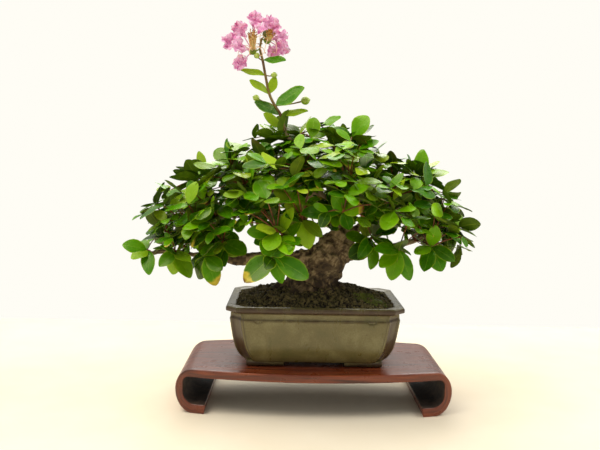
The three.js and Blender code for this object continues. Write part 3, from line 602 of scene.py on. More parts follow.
def add_node(
    tree: bpy.types.NodeTree,
    kind: str,
    settings: dict[str, object] | None = None,
    inputs: Inputs | None = None,
    stops: Sequence[tuple[float, str]] = (),
) -> bpy.types.Node:
    """Adds a node with its settings and links.

    Args:
        tree: The node tree that takes it.
        kind: The node's type, without "ShaderNode".
        settings: Values of its properties.
        inputs: For an input's name or number, its value, or what is linked to it: an output, or a node,
            which gives its first output.
        stops: For a colour ramp, each stop's place and hex colour.

    Returns:
        The node.
    """
    node = tree.nodes.new("ShaderNode" + kind)
    for name, value in (settings or {}).items():
        setattr(node, name, value)
    for name, value in (inputs or {}).items():
        if isinstance(value, bpy.types.Node):
            value = value.outputs[0]
        if isinstance(value, bpy.types.NodeSocket):
            tree.links.new(value, node.inputs[name])
        else:
            node.inputs[name].default_value = value
    if stops:
        elements = node.color_ramp.elements
        while len(elements) < len(stops):
            elements.new(0.5)
        for element, (place, code) in zip(elements, stops):
            element.position = place
            element.color = linear(code)
    return node


@dataclass(frozen=True)
class Finish:
    """A surface. A kind of surface says in paint() how its colour, gloss and relief are made."""

    name: str

    def material(self) -> bpy.types.Material:
        """The Blender material, made the first time that it is asked for."""
        found = bpy.data.materials.get(self.name)
        if found:
            return found
        made = bpy.data.materials.new(self.name)
        made.use_nodes = True
        made.node_tree.nodes.clear()
        add = partial(add_node, made.node_tree)
        add("OutputMaterial", inputs={"Surface": add("BsdfPrincipled", inputs=self.paint(add))})
        return made

    def paint(self, add: AddNode) -> Inputs:
        """Makes the surface.

        Args:
            add: Adds a node to the material.

        Returns:
            What goes into each input of its shader.
        """
        raise NotImplementedError


def per(size: float) -> float:
    """The scale of a pattern on Object coordinates whose features are that many millimetres apart."""
    return 1 / (size * METRES)


@dataclass(frozen=True)
class LeafSide(Finish):
    """One side of a leaf, with a straight midrib and side veins that arch towards the tip."""

    side_veins: float = 9.0
    arch: float = 1.5
    side_width: float = 0.2  # share of the space between side veins that one takes
    side_strength: float = 0.12
    vein_height: float = 0.2  # millimetres

    def chart(self, add: AddNode) -> tuple[bpy.types.NodeSocket, bpy.types.Node]:
        """The share along the blade, and how far off its midrib a point lies, as a share of its width."""
        chart = add("SeparateXYZ", inputs={0: add("UVMap", {"uv_map": "UVMap"})})
        off_centre = add("Math", SUBTRACT, {0: chart.outputs[0], 1: 0.5})
        return chart.outputs[1], add("Math", {"operation": "ABSOLUTE"}, {0: off_centre})

    def veins(
        self, add: AddNode, along: bpy.types.NodeSocket, off_rib: bpy.types.Node, rib: bpy.types.Node
    ) -> bpy.types.Node:
        """Where the veins lie.

        Args:
            add: Adds a node to the material.
            along: The share along the blade.
            off_rib: The distance from the midrib.
            rib: How strong the midrib is.

        Returns:
            A node that gives how strong a vein is, from 0 to 1.
        """
        run = add("Math", MULTIPLY_ADD, {0: off_rib, 1: -self.arch, 2: along})
        run = add("Math", MULTIPLY, {0: run, 1: 2 * math.pi * self.side_veins})
        wave = add("Math", {"operation": "SINE"}, {0: run})
        side = add("MapRange", inputs={0: wave, 1: 1 - self.side_width, 2: 1, 3: 0, 4: self.side_strength})
        return add("Math", {"operation": "MAXIMUM"}, {0: rib, 1: side})


@dataclass(frozen=True)
class LeafFace(LeafSide):
    """Waxy upper side of a leaf: a clear glossy film over bright green, with a thin paler midrib and margin
    and a few tips burnt yellow and brown. The wax gives broad soft lights."""

    deep: str = "#183c00"
    middle: str = "#3a7c00"
    fresh: str = "#7cb804"
    young: str = "#a3c025"
    vein: str = "#86b02a"
    margin: str = "#9cbc2a"
    yellowed: str = "#c8b53a"
    burnt: str = "#5f2c0e"
    wax: str = "#f4ffc0"
    gloss: float = 0.22
    rib: float = 0.022  # share of the width that half of the midrib takes

    def paint(self, add: AddNode) -> Inputs:
        """Colours the blade by its tone, then its age, its margin, its veins and its burnt tip."""
        along, off_rib = self.chart(add)
        where = add("TexCoord").outputs["Object"]
        patches = add("TexNoise", inputs={"Vector": where, "Scale": per(8), "Detail": 2.0})
        # the tone is partly random and partly painted light, lighter for leaves higher in the crown
        tone = add("Attribute", {"attribute_name": "tone"}).outputs["Fac"]
        shade = add("Math", MULTIPLY_ADD, {0: patches, 1: 0.4, 2: tone})
        shade = add("Math", SUBTRACT | {"use_clamp": True}, {0: shade, 1: 0.2})
        stops = ((0, self.deep), (0.45, self.middle), (1, self.fresh))
        green = add("ValToRGB", inputs={0: shade}, stops=stops)
        age = add("Attribute", {"attribute_name": "young"}).outputs["Fac"]
        green = add("Mix", COLOURS, {0: age, 6: green, 7: linear(self.young)}).outputs[2]
        rim = add("MapRange", SOFT, {0: off_rib, 1: 0.42, 2: 0.5, 3: 0, 4: 0.6})
        green = add("Mix", COLOURS, {0: rim, 6: green, 7: linear(self.margin)}).outputs[2]
        rib = add("MapRange", SOFT, {0: off_rib, 1: 0.004, 2: self.rib, 3: 0.5, 4: 0})
        veins = self.veins(add, along, off_rib, rib)
        green = add("Mix", COLOURS, {0: veins, 6: green, 7: linear(self.vein)}).outputs[2]
        frayed = add("Math", MULTIPLY_ADD, {0: patches, 1: 0.5, 2: along})
        burn = add("Attribute", {"attribute_name": "burn"}).outputs["Fac"]
        reach = add("MapRange", inputs={0: frayed, 1: 1.0, 2: 1.32, 3: 0, 4: 1})
        burning = add("Math", MULTIPLY, {0: reach, 1: burn})
        scorch = add("ValToRGB", inputs={0: burning}, stops=((0.3, self.yellowed), (0.75, self.burnt)))
        scorched = add("MapRange", SOFT, {0: burning, 1: 0.05, 2: 0.3, 3: 0, 4: 1})
        dull, clear = self.gloss + 0.12, self.gloss - 0.06
        sunk = add("Math", MULTIPLY_ADD, {0: patches, 1: 0.35, 2: veins})
        depth = self.vein_height * METRES
        return {
            "Base Color": add("Mix", COLOURS, {0: scorched, 6: green, 7: scorch}).outputs[2],
            "Roughness": add("MapRange", inputs={0: patches, 1: 0.3, 2: 0.7, 3: clear, 4: dull}),
            "IOR": 1.45,
            "Specular IOR Level": 0.42,
            "Specular Tint": linear(self.wax),
            "Subsurface Weight": 0.12,
            "Subsurface Radius": (0.7, 1.0, 0.2),
            "Subsurface Scale": METRES,
            "Normal": add("Bump", {"invert": True}, {"Height": sunk, "Distance": depth, "Strength": 0.5}),
        }


@dataclass(frozen=True)
class LeafBack(LeafSide):
    """Dull underside of a leaf: matt olive green with raised paler veins, so that hanging leaves look softer
    and yellower than their faces."""

    side_width: float = 0.25
    side_strength: float = 0.25
    shaded: str = "#3a5600"
    lit: str = "#738e06"
    vein: str = "#8ea02c"
    burnt: str = "#6a4418"

    def paint(self, add: AddNode) -> Inputs:
        """Colours the blade by its tone, then its veins and its burnt tip."""
        along, off_rib = self.chart(add)
        where = add("TexCoord").outputs["Object"]
        patches = add("TexNoise", inputs={"Vector": where, "Scale": per(4), "Detail": 4.0})
        tone = add("Attribute", {"attribute_name": "tone"}).outputs["Fac"]
        shade = add("Math", MULTIPLY, {0: patches, 1: tone})
        green = add("ValToRGB", inputs={0: shade}, stops=((0.05, self.shaded), (0.6, self.lit)))
        rib = add("MapRange", inputs={0: off_rib, 1: 0.006, 2: 0.035, 3: 0.7, 4: 0})
        veins = self.veins(add, along, off_rib, rib)
        green = add("Mix", COLOURS, {0: veins, 6: green, 7: linear(self.vein)}).outputs[2]
        burn = add("Attribute", {"attribute_name": "burn"}).outputs["Fac"]
        reach = add("MapRange", inputs={0: along, 1: 0.6, 2: 1, 3: 0, 4: 1})
        burning = add("Math", MULTIPLY, {0: reach, 1: burn})
        depth = self.vein_height * METRES
        return {
            "Base Color": add("Mix", COLOURS, {0: burning, 6: green, 7: linear(self.burnt)}).outputs[2],
            "Roughness": 0.62,
            "IOR": 1.42,
            "Normal": add("Bump", inputs={"Height": veins, "Distance": depth, "Strength": 0.8}),
        }


@dataclass(frozen=True)
class Mottled(Finish):
    """A matt or satin living surface, mottled between a dark and a light colour in soft patches, with a fine
    grain of its own. Which plant part it is decides its colours."""

    dark: str
    light: str
    patch: float  # millimetres
    grain: float  # millimetres
    relief: float = 0.1  # millimetres
    roughness: float = 0.6
    sheen: float = 0.0
    translucent: float = 0.0

    def paint(self, add: AddNode) -> Inputs:
        """Mottles the colour and roughens the surface."""
        where = add("TexCoord").outputs["Object"]
        patches = add("TexNoise", inputs={"Vector": where, "Scale": per(self.patch), "Detail": 2.0})
        fine = add("TexNoise", inputs={"Vector": where, "Scale": per(self.grain), "Detail": 3.0})
        mixed = add("Math", MULTIPLY_ADD, {0: fine, 1: 0.5, 2: patches})
        tone = add("Attribute", {"attribute_name": "tone"}).outputs["Fac"]
        mixed = add("Math", MULTIPLY_ADD, {0: tone, 1: 0.6, 2: mixed})
        depth = self.relief * METRES
        return {
            "Base Color": add("ValToRGB", inputs={0: mixed}, stops=((0.55, self.dark), (1.0, self.light))),
            "Roughness": self.roughness,
            "Sheen Weight": self.sheen,
            "Subsurface Weight": self.translucent,
            "Subsurface Radius": (1.0, 0.6, 0.5),
            "Subsurface Scale": METRES,
            "Normal": add("Bump", inputs={"Height": mixed, "Distance": depth, "Strength": 0.8}),
        }


@dataclass(frozen=True)
class Bark(Finish):
    """Old crape myrtle bark: grey-brown, smooth and pale on the swellings, dark and rough in the furrows,
    where the thin outer layer has flaked. The furrows run along the wood. Low on the trunk it is darker,
    partly because the soil keeps the bark damp and partly as painted shade; high up it is palest, with
    painted light."""

    furrow: str = "#35281d"
    brown: str = "#69583f"
    pale_and_lit: str = "#a08d6c"
    lichen: str = "#7b7450"
    damp: float = 78.0  # height in millimetres up to which the bark is darkest: kept damp by the soil, and painted shade under the leaves
    dry_and_lit_level: float = 112.0  # height from which it is palest, with painted light on the upper trunk
    relief: float = 0.8  # millimetres

    def paint(self, add: AddNode) -> Inputs:
        """Colours by depth of the furrow and by height, with flakes and a breath of lichen. Height darkens
        the foot, partly for damp and partly as painted shade, and paints light on the upper trunk.
        """
        along = add("Attribute", {"attribute_name": "grain"}).outputs["Vector"]
        where = add("TexCoord").outputs["Object"]
        grain = {"Vector": along, "Scale": 0.34, "Detail": 4.0, "Roughness": 0.5, "Distortion": 0.6}
        wrinkles = add("TexNoise", inputs=grain)
        flakes = add("TexVoronoi", {"feature": "DISTANCE_TO_EDGE"}, {"Vector": along, "Scale": 0.3})
        patches = add("TexNoise", inputs={"Vector": where, "Scale": per(11), "Detail": 2.0})
        height = add("Attribute", {"attribute_name": "furrow"}).outputs["Fac"]
        edge = add("MapRange", inputs={0: flakes, 1: 0, 2: 0.16, 3: -0.05, 4: 0})
        shade = add("Math", MULTIPLY_ADD, {0: height, 1: 0.55, 2: edge})
        shade = add("Math", MULTIPLY_ADD, {0: wrinkles, 1: 0.5, 2: shade})
        shade = add("Math", MULTIPLY_ADD, {0: patches, 1: 0.4, 2: shade})
        # painted shade and light: darker towards the soil, partly for damp bark and partly painted shade, and
        # paler up the trunk as painted light
        level = add("SeparateXYZ", inputs={0: where}).outputs[2]
        low, high = self.damp * METRES, self.dry_and_lit_level * METRES
        dryness_and_painted_light = add("MapRange", inputs={0: level, 1: low, 2: high, 3: -0.12, 4: 0.14})
        shade = add("Math", ADD, {0: shade, 1: dryness_and_painted_light})
        stops = ((0.36, self.furrow), (0.72, self.brown), (1.05, self.pale_and_lit))
        colour = add("ValToRGB", inputs={0: shade}, stops=stops)
        green = add("MapRange", inputs={0: patches, 1: 0.56, 2: 0.72, 3: 0, 4: 0.25})
        rough = add("Math", ADD, {0: wrinkles, 1: edge})
        depth = self.relief * METRES
        return {
            "Base Color": add("Mix", COLOURS, {0: green, 6: colour, 7: linear(self.lichen)}).outputs[2],
            "Roughness": 0.86,
            "Normal": add("Bump", inputs={"Height": rough, "Distance": depth, "Strength": 0.45}),
        }


@dataclass(frozen=True)
class Celadon(Finish):
    """Olive celadon over brown stoneware: thick and green where the glaze has run, thin and brown on edges
    and mouldings, with fine specks and a few pinholes. Under the rim's overhang the brown is partly thin
    glaze and partly painted shade, and the inner part of the rim's top carries a painted highlight. It is
    glossy, with a soft rolling surface."""

    thick: str = "#565630"
    pale: str = "#7d7850"
    warm: str = "#6b633c"
    # brown body where the glaze is thin, and the painted shade under the rim
    thin: str = "#35200e"
    # the paler colour of the painted highlight on the rim's top
    pale_and_lit: str = "#857a52"
    relief: float = 0.15  # millimetres

    def paint(self, add: AddNode) -> Inputs:
        """Colours the glaze by its thickness and lets the body show through at edges and pinholes, then
        paints a highlight on the inner part of the rim's top.
        """
        where = add("TexCoord").outputs["Object"]
        clouds = add("TexNoise", inputs={"Vector": where, "Scale": per(17), "Detail": 4.0, "Roughness": 0.6})
        streaks = add("Mapping", inputs={0: where, "Scale": (1.0, 1.0, 0.25)})
        runs = add("TexNoise", inputs={"Vector": streaks, "Scale": per(6), "Detail": 3.0, "Roughness": 0.5})
        specks = add("TexNoise", inputs={"Vector": where, "Scale": per(0.9), "Detail": 1.0})
        mixed = add("Math", MULTIPLY_ADD, {0: runs, 1: 0.3, 2: clouds})
        mixed = add("Math", MULTIPLY_ADD, {0: specks, 1: 0.3, 2: mixed})
        stops = ((0.5, self.thick), (0.8, self.warm), (1.05, self.pale))
        glaze = add("ValToRGB", inputs={0: mixed}, stops=stops)
        thin = add("Attribute", {"attribute_name": "thin"}).outputs["Fac"]
        bare = add("Math", MULTIPLY_ADD, {0: runs, 1: 0.7, 2: thin})
        bare = add("MapRange", SOFT, {0: bare, 1: 0.5, 2: 1.15, 3: 0, 4: 0.95})
        colour = add("Mix", COLOURS, {0: bare, 6: glaze, 7: linear(self.thin)}).outputs[2]
        # painted highlight: the inner part of the rim's flat top is mixed a little towards the paler colour
        rubbed = add("Attribute", {"attribute_name": "rubbed"}).outputs["Fac"]
        rim_lip_highlight_share = add("Math", MULTIPLY, {0: rubbed, 1: 0.35})
        colour = add("Mix", COLOURS, {0: rim_lip_highlight_share, 6: colour, 7: linear(self.pale_and_lit)}).outputs[2]
        holes = add("TexVoronoi", inputs={"Vector": where, "Scale": per(7)})
        pinhole = add("MapRange", inputs={0: holes, 1: 0.04, 2: 0.07, 3: 0.5, 4: 0})
        dips = add("Math", MULTIPLY_ADD, {0: pinhole, 1: -0.7, 2: runs})
        depth = self.relief * METRES
        return {
            "Base Color": add("Mix", COLOURS, {0: pinhole, 6: colour, 7: linear(self.thin)}).outputs[2],
            "Roughness": add("MapRange", inputs={0: runs, 1: 0.3, 2: 0.7, 3: 0.26, 4: 0.36}),
            "IOR": 1.52,
            "Normal": add("Bump", inputs={"Height": dips, "Distance": depth, "Strength": 0.2}),
        }


@dataclass(frozen=True)
class LacqueredWood(Finish):
    """Rosewood under scuffed red-brown lacquer: dark and red streaks along the bent board, with open pores,
    and a satin shine that picks up a pale sky on the top."""

    dark: str = "#2c0f06"
    red: str = "#6b2a10"
    orange: str = "#8c4520"
    streak: tuple[float, float, float] = (0.02, 0.32, 1.0)  # turns of the pattern per millimetre
    pore: tuple[float, float, float] = (0.06, 2.2, 1.0)
    relief: float = 0.18  # millimetres

    def paint(self, add: AddNode) -> Inputs:
        """Draws the grain along the board and scuffs the lacquer."""
        chart = add("UVMap", {"uv_map": "UVMap"})
        stretched = add("Mapping", inputs={0: chart, "Scale": self.streak})
        grain = {"Vector": stretched, "Scale": 1.0, "Detail": 6.0, "Distortion": 1.1}
        wander = add("TexNoise", inputs=grain)
        fine = add("Mapping", inputs={0: chart, "Scale": self.pore})
        pores = add("TexNoise", inputs={"Vector": fine, "Scale": 1.0, "Detail": 2.0})
        mixed = add("Math", MULTIPLY_ADD, {0: pores, 1: 0.35, 2: wander})
        where = add("TexCoord").outputs["Object"]
        scuffs = add("TexNoise", inputs={"Vector": where, "Scale": per(9), "Detail": 5.0})
        stops = ((0.45, self.dark), (0.66, self.red), (0.9, self.orange))
        depth = self.relief * METRES
        return {
            "Base Color": add("ValToRGB", inputs={0: mixed}, stops=stops),
            "Roughness": add("MapRange", inputs={0: scuffs, 1: 0.3, 2: 0.75, 3: 0.22, 4: 0.5}),
            "IOR": 1.5,
            "Coat Weight": 0.25,
            "Coat Roughness": 0.3,
            "Normal": add("Bump", inputs={"Height": mixed, "Distance": depth, "Strength": 0.5}),
        }


@dataclass(frozen=True)
class Petal(Finish):
    """Crape myrtle petal: thin crinkled tissue, pink, with painted shade deeper in the folds and a painted
    highlight nearly white on the crests, with a soft sheen like crape paper."""

    # deep is the painted shade in the folds, pale the painted highlight on the crests
    deep: str = "#bb5598"
    pink: str = "#df86bc"
    pale: str = "#f4c2e6"
    relief: float = 0.3  # millimetres

    def paint(self, add: AddNode) -> Inputs:
        """Colours by the fold, which gives painted shade in the folds and a painted highlight on the crests,
        and by a fine web of veins.
        """
        where = add("TexCoord").outputs["Object"]
        fold = add("Attribute", {"attribute_name": "fold"}).outputs["Fac"]
        crinkle = {"Vector": where, "Scale": per(1.6), "Detail": 4.0, "Distortion": 0.6}
        web = add("TexNoise", inputs=crinkle)
        mixed = add("Math", MULTIPLY_ADD, {0: web, 1: 0.45, 2: fold})
        stops = ((0.3, self.deep), (0.62, self.pink), (1.1, self.pale))
        depth = self.relief * METRES
        return {
            "Base Color": add("ValToRGB", inputs={0: mixed}, stops=stops),
            "Roughness": 0.55,
            "Sheen Weight": 0.25,
            "Subsurface Weight": 0.25,
            "Subsurface Radius": (1.0, 0.5, 0.6),
            "Subsurface Scale": METRES,
            "Normal": add("Bump", inputs={"Height": web, "Distance": depth, "Strength": 0.6}),
        }


@dataclass(frozen=True)
class Aluminium(Finish):
    """Soft drawn aluminium wire: dull silver, with faint lines along it from the die."""

    bright: str = "#b9bbbe"
    dull: str = "#8b8d90"
    relief: float = 0.05  # millimetres

    def paint(self, add: AddNode) -> Inputs:
        """Clouds the metal and draws its lines."""
        where = add("TexCoord").outputs["Object"]
        lines = add("TexNoise", inputs={"Vector": where, "Scale": per(0.8), "Detail": 3.0})
        depth = self.relief * METRES
        return {
            "Base Color": add("ValToRGB", inputs={0: lines}, stops=((0.35, self.dull), (0.65, self.bright))),
            "Metallic": 1.0,
            "Roughness": 0.42,
            "Normal": add("Bump", inputs={"Height": lines, "Distance": depth, "Strength": 0.4}),
        }


LEAF_FACE = LeafFace("waxy_leaf_face")
LEAF_BACK = LeafBack("matt_leaf_underside")
TWIG = Mottled("reddish_new_twig", "#4a1f0c", "#94542a", 5, 0.8, 0.15, 0.55)
STEM = Mottled("brown_green_stem", "#5a3210", "#94803a", 9, 0.8, 0.1, 0.5)
BUD = Mottled("fleshy_green_bud", "#86a02a", "#c2d870", 3, 0.9, 0.1, 0.42, translucent=0.2)
CALYX = Mottled("ribbed_green_calyx", "#546c10", "#8fa632", 3, 0.9, 0.15, 0.5)
OLD_BUD = Mottled("dark_spent_cup", "#33380c", "#6c6a22", 2.5, 0.8, 0.2, 0.6)
FILAMENT = Mottled("pale_yellow_filament", "#dcae62", "#f2dca2", 3, 0.8, 0.05, 0.55, translucent=0.2)
LONG_FILAMENT = Mottled("pink_cream_filament", "#eebf9a", "#fadfc0", 3, 0.8, 0.05, 0.55)
ANTHER = Mottled("dusty_orange_anther", "#7e4410", "#c98a2c", 0.8, 0.3, 0.1, 0.85)
EARTH = Mottled("damp_dark_potting_soil", "#120b06", "#33261a", 3, 0.7, 0.8, 0.95)
GRAIN = Mottled("baked_clay_granules", "#0f0c05", "#6a5f3a", 2.5, 0.5, 0.3, 0.92)
MOSS = Mottled("growing_cushion_moss", "#2f360c", "#6e7826", 2.5, 0.6, 0.3, 0.9, sheen=0.15)
SCREEN = Mottled("moulded_black_polythene_mesh", "#121415", "#24282a", 4, 0.6, 0.06, 0.5)
CELADON = Celadon("olive_celadon_on_stoneware")
LACQUERED = LacqueredWood("lacquered_rosewood")
# the scroll's inner faces: rough, and dark as painted shade inside the curl and under the board
INNER_WOOD_IN_PAINTED_SHADE = Mottled("rough_inner_wood_in_painted_shade", "#1a110b", "#4a382b", 7, 1.5, 0.3, 0.78)
BARK = Bark("flaking_crape_myrtle_bark")
PETAL = Petal("crinkled_pink_petal")
WIRE = Aluminium("drawn_aluminium_wire")
CLOTH = Mottled("plain_pale_table", "#ece1cb", "#f3ead8", 300, 40, 0.05, 0.9)


# ---- Stand ---------------------------------------------------------------------------------------


@dataclass
class Stand:
    """A board with bowed long edges whose ends curl down and under into two scroll feet, in millimetres."""

    width: float = 187.0
    depth: float = 98.6
    bow: float = 13.0  # how far each long edge falls back at the ends
    height: float = 30.0
    board: float = 5.4
    belly: float = 16.0
    outer_reach: float = 12.0
    foot_run: float = 20.0
    foot_thickness: float = 6.2
    inner_top: float = 4.0
    inner_foot: float = 8.0
    slack: float = 0.9  # how far the foot's end leans
    edge: float = 0.7  # radius of its worn edges
    crisp: float = 50.0  # degrees from which an edge is worn round
    span_steps: int = 34  # along half of the board
    curl_steps: int = 12
    foot_steps: int = 4
    depth_steps: int = 22

    @staticmethod
    def arc(centre: tuple[float, float], radii: tuple[float, float], start: float, share: float) -> Vector:
        """A point of a quarter of an ellipse in the section, from that angle in degrees clockwise."""
        angle = math.radians(start - 90 * share)
        return Vector((centre[0] + radii[0] * math.cos(angle), 0, centre[1] + radii[1] * math.sin(angle)))

    def section(self) -> list[tuple[Vector, Vector]]:
        """Outer and inner points of the board's section, from the middle of the right half to its foot."""
        end = self.width / 2
        start = end - self.outer_reach
        wall = end - self.board
        ceiling = self.height - self.board
        tip = end - self.foot_run
        turn = wall - self.inner_top
        floor_x = wall - self.inner_foot
        pairs = []
        for i in range(self.span_steps):
            share = i / self.span_steps
            pairs.append((Vector((start * share, 0, self.height)), Vector((turn * share, 0, ceiling))))
        upper = (turn, ceiling - self.inner_top)
        lower = (floor_x, self.foot_thickness + self.inner_foot)
        for i in range(self.curl_steps):
            share = i / self.curl_steps
            outer = self.arc((start, self.belly), (self.outer_reach, self.height - self.belly), 90, share)
            inner = self.arc(upper, (self.inner_top, self.inner_top), 90, min(1, share * 1.5))
            if share > 2 / 3:
                inner.z = lerp(upper[1], lower[1], 3 * share - 2)
            pairs.append((outer, inner))
        for i in range(self.curl_steps):
            share = i / self.curl_steps
            outer = self.arc((start, self.belly), (self.outer_reach, self.belly), 0, share)
            pairs.append((outer, self.arc(lower, (self.inner_foot, self.inner_foot), 0, share)))
        for i in range(self.foot_steps + 1):
            share = i / self.foot_steps
            outer = Vector((lerp(start, tip, share), 0, 0))
            inner = Vector((lerp(floor_x, tip - self.slack, share), 0, self.foot_thickness))
            pairs.append((outer, inner))
        return pairs

    def reach(self, x: float) -> float:
        """Half of the depth at that distance from the middle."""
        return self.depth / 2 - self.bow * (2 * x / self.width) ** 2

    def build(self, bench: Bench) -> None:
        """Bends the board and softens its edges."""
        half = self.section()
        band = [(Vector((-o.x, 0, o.z)), Vector((-i.x, 0, i.z))) for o, i in reversed(half[1:])] + half
        runs = [0.0]
        for (before, _), (here, _) in zip(band, band[1:]):
            runs.append(runs[-1] + (here - before).length)
        steps = len(band) - 1
        bm = bmesh.new()
        chart = bm.loops.layers.uv.new("UVMap")

        def lay(across: int, along: int, place: Place, flat: tuple[float, float], slot: int = 0) -> None:
            """Lays one face of the board and charts its grain in millimetres along the bent board."""
            for face in faces_of(skin(bm, across, along, place, material=slot)):
                for loop in face.loops:
                    u, v = loop[chart].uv
                    at = runs[round(clamp(u) * steps)] if across == steps else flat[0] * u
                    loop[chart].uv = (at, v * flat[1])

        def across_board(layer: float, step: int, side: float) -> Vector:
            """A point of the board: from 0 outside to 1 inside, a step along it, from -1 front to 1 back."""
            outer, inner = band[step]
            point = outer.lerp(inner, layer)
            return Vector((point.x, side * self.reach(point.x), point.z))

        # layer 0 is the outer face, in lacquer; layer 1 the inner face, painted dark as shade inside the
        # scroll
        for layer in (0, 1):
            broad = partial(across_board, layer)
            flat = (0, self.depth)
            lay(steps, self.depth_steps, lambda u, v: broad(round(u * steps), 2 * v - 1), flat, layer)
        for side in (-1.0, 1.0):
            lay(steps, 2, lambda u, v: across_board(v, round(u * steps), side), (0, self.board))
        for step in (0, steps):
            lay(2, self.depth_steps, lambda u, v: across_board(u, step, 2 * v - 1), (self.board, self.depth))
        bmesh.ops.remove_doubles(bm, verts=bm.verts, dist=SEAM)
        bmesh.ops.recalc_face_normals(bm, faces=bm.faces)
        edges = [edge for edge in bm.edges if edge.calc_face_angle(0.0) > math.radians(self.crisp)]
        soft = {"offset": self.edge, "segments": 3, "profile": 0.5, "affect": "EDGES", "material": -1}
        bmesh.ops.bevel(bm, geom=edges, **soft)
        bench.put(bm, "scroll_stand", [LACQUERED, INNER_WOOD_IN_PAINTED_SHADE], ["stand"], crease=60)


# ---- Pot -----------------------------------------------------------------------------------------


@dataclass
class Pot:
    """A rectangular pot with cut corners between two beads, a moulded line and a broad flat rim."""

    width: float = 120.0
    depth: float = 85.0
    height: float = 42.5
    base: float = 30.3  # height of its feet over the table
    corner: float = 7.5
    rim_height: float = 3.5
    foot_height: float = 3.0
    foot_length: float = 26.0
    foot_depth: float = 20.0
    foot_inset: float = 1.0
    hole_radius: float = 6.5
    hole_spacing: float = 50.0
    bead: float = 0.55  # how far a corner bead stands out
    recess: float = 0.55  # how far the cut corner lies back
    line_inset: float = 3.15  # from the rim's edge to the wall behind the moulded line
    line_level: float = 33.1  # height of the moulded line over the feet
    line_radius: float = 0.62
    line_step: float = 1.5  # how far it drops near its ends
    edge: float = 0.7  # radius of the feet's edges
    drill_depth: float = 24.0
    outer_rings: int = 20  # rings of the outline below, from its foot, that bear the beads
    long_steps: int = 30
    short_steps: int = 20
    # Height over the feet, how far the wall stands in from the rim's edge, and how thin the glaze is there;
    # under the rim's overhang the high values also paint shade.
    outside: tuple[tuple[float, float, float], ...] = (
        (3, 12.5, 0.5), (3.6, 11.9, 0.3), (5.2, 10.5, 0.1), (7.5, 9, 0), (10, 7.7, 0), (13, 6.5, 0),
        (16.5, 5.6, 0), (20.5, 4.8, 0), (24.5, 4.2, 0), (28.5, 3.6, 0), (31.5, 3.2, 0.1), (33, 3, 0.45),
        (33.7, 3.05, 0.6), (34.3, 3.3, 0.4), (35, 3.45, 0.1), (36.6, 3.35, 0), (37.6, 3.2, 0.35),
        # under and round the rim's overhang: thin glaze, darkened further as painted shade
        (38.2, 2.7, 0.8), (38.7, 1.5, 0.9), (39, 0.6, 0.9), (39.4, 0.15, 0.85), (40.2, 0, 0.8),
        (41.4, 0, 0.7), (42.1, 0.25, 0.55), (42.5, 0.9, 0.3), (42.5, 2.6, 0), (42.45, 4.2, 0),
        (42.3, 5.3, 0.1), (41.8, 5.9, 0.35), (40.5, 6, 0.3), (34.5, 6, 0.1), (24, 8, 0.1), (14, 10.5, 0.1),
        (7, 14, 0.2),
    )
    bead_from: float = 4.0
    bead_to: float = 37.6

    def quarter(self, relief: float) -> list[tuple[float, float, float]]:
        """Steps of a corner from its long side round to its short side.

        Args:
            relief: 1 where the beads are full, 0 where the corner is plain.

        Returns:
            For each step, how far it lies from the uncut corner in x and in y, and how thin the glaze is.
        """
        c, b, r = self.corner, self.bead * relief, self.recess * relief
        half = [
            (0.0, -c - 2.8, 0.0),
            (0.0, -c - 1.9, 0.15 * relief),
            (b * 0.75, -c - 1.3, 0.55 * relief),
            (b, -c - 0.6, 0.1 * relief),
            (b * 0.4 - 0.1, -c + 0.15, 0.5 * relief),
            (-0.75 - r, -c + 0.75 - r * 0.4, 0.75 * relief),
            (-c * 0.3 - r, -c * 0.7 - r, 0.65 * relief),
        ]
        return [*half, (-c / 2 - r, -c / 2 - r, 0.6 * relief), *[(y, x, t) for x, y, t in reversed(half)]]

    def ring(self, inset: float, relief: float) -> list[tuple[Vector, float]]:
        """The pot's outline at one height, from the middle of its right side, with the glaze's thinness."""
        x, y = self.width / 2 - inset, self.depth / 2 - inset
        corner = self.quarter(relief)
        first = [(x + dx, y + dy, t) for dx, dy, t in corner]
        loops = [
            first,
            [(-px, py, t) for px, py, t in reversed(first)],
            [(-px, -py, t) for px, py, t in first],
            [(px, -py, t) for px, py, t in reversed(first)],
        ]
        points: list[tuple[Vector, float]] = []
        for i, loop in enumerate(loops):
            points += [(Vector((px, py, 0)), t) for px, py, t in loop]
            steps = self.long_steps if i % 2 == 0 else self.short_steps
            start, end = Vector((*loop[-1][:2], 0)), Vector((*loops[(i + 1) % 4][0][:2], 0))
            points += [(start.lerp(end, k / steps), 0.0) for k in range(1, steps)]
        return points

    def moulding(self, bm: bmesh.types.BMesh) -> None:
        """Lays the thin raised line round each side, dropping in a small step at its ends."""
        thin = number_on(bm, "thin")
        level, low = self.base + self.line_level, self.base + self.line_level - self.line_step
        for axis, length, out in ((0, self.width, self.depth), (1, self.depth, self.width)):
            reach = length / 2 - self.line_inset - self.corner - 2.6
            across = out / 2 - self.line_inset - 0.05
            steps = ((0, level), (5, level), (7.5, low), (10.5, low), (12.5, level))
            end = [(x - reach, z) for x, z in steps]
            middle = [(x * reach, level) for x in (-0.45, 0.0, 0.45)]
            path = [*end, *middle, *((-x, z) for x, z in reversed(end))]
            for side in (-across, across):
                places = [Vector((x, side, z) if axis == 0 else (side, x, z)) for x, z in path]
                for vert in rod(bm, [(place, self.line_radius) for place in places], 8):
                    vert[thin] = 0.45

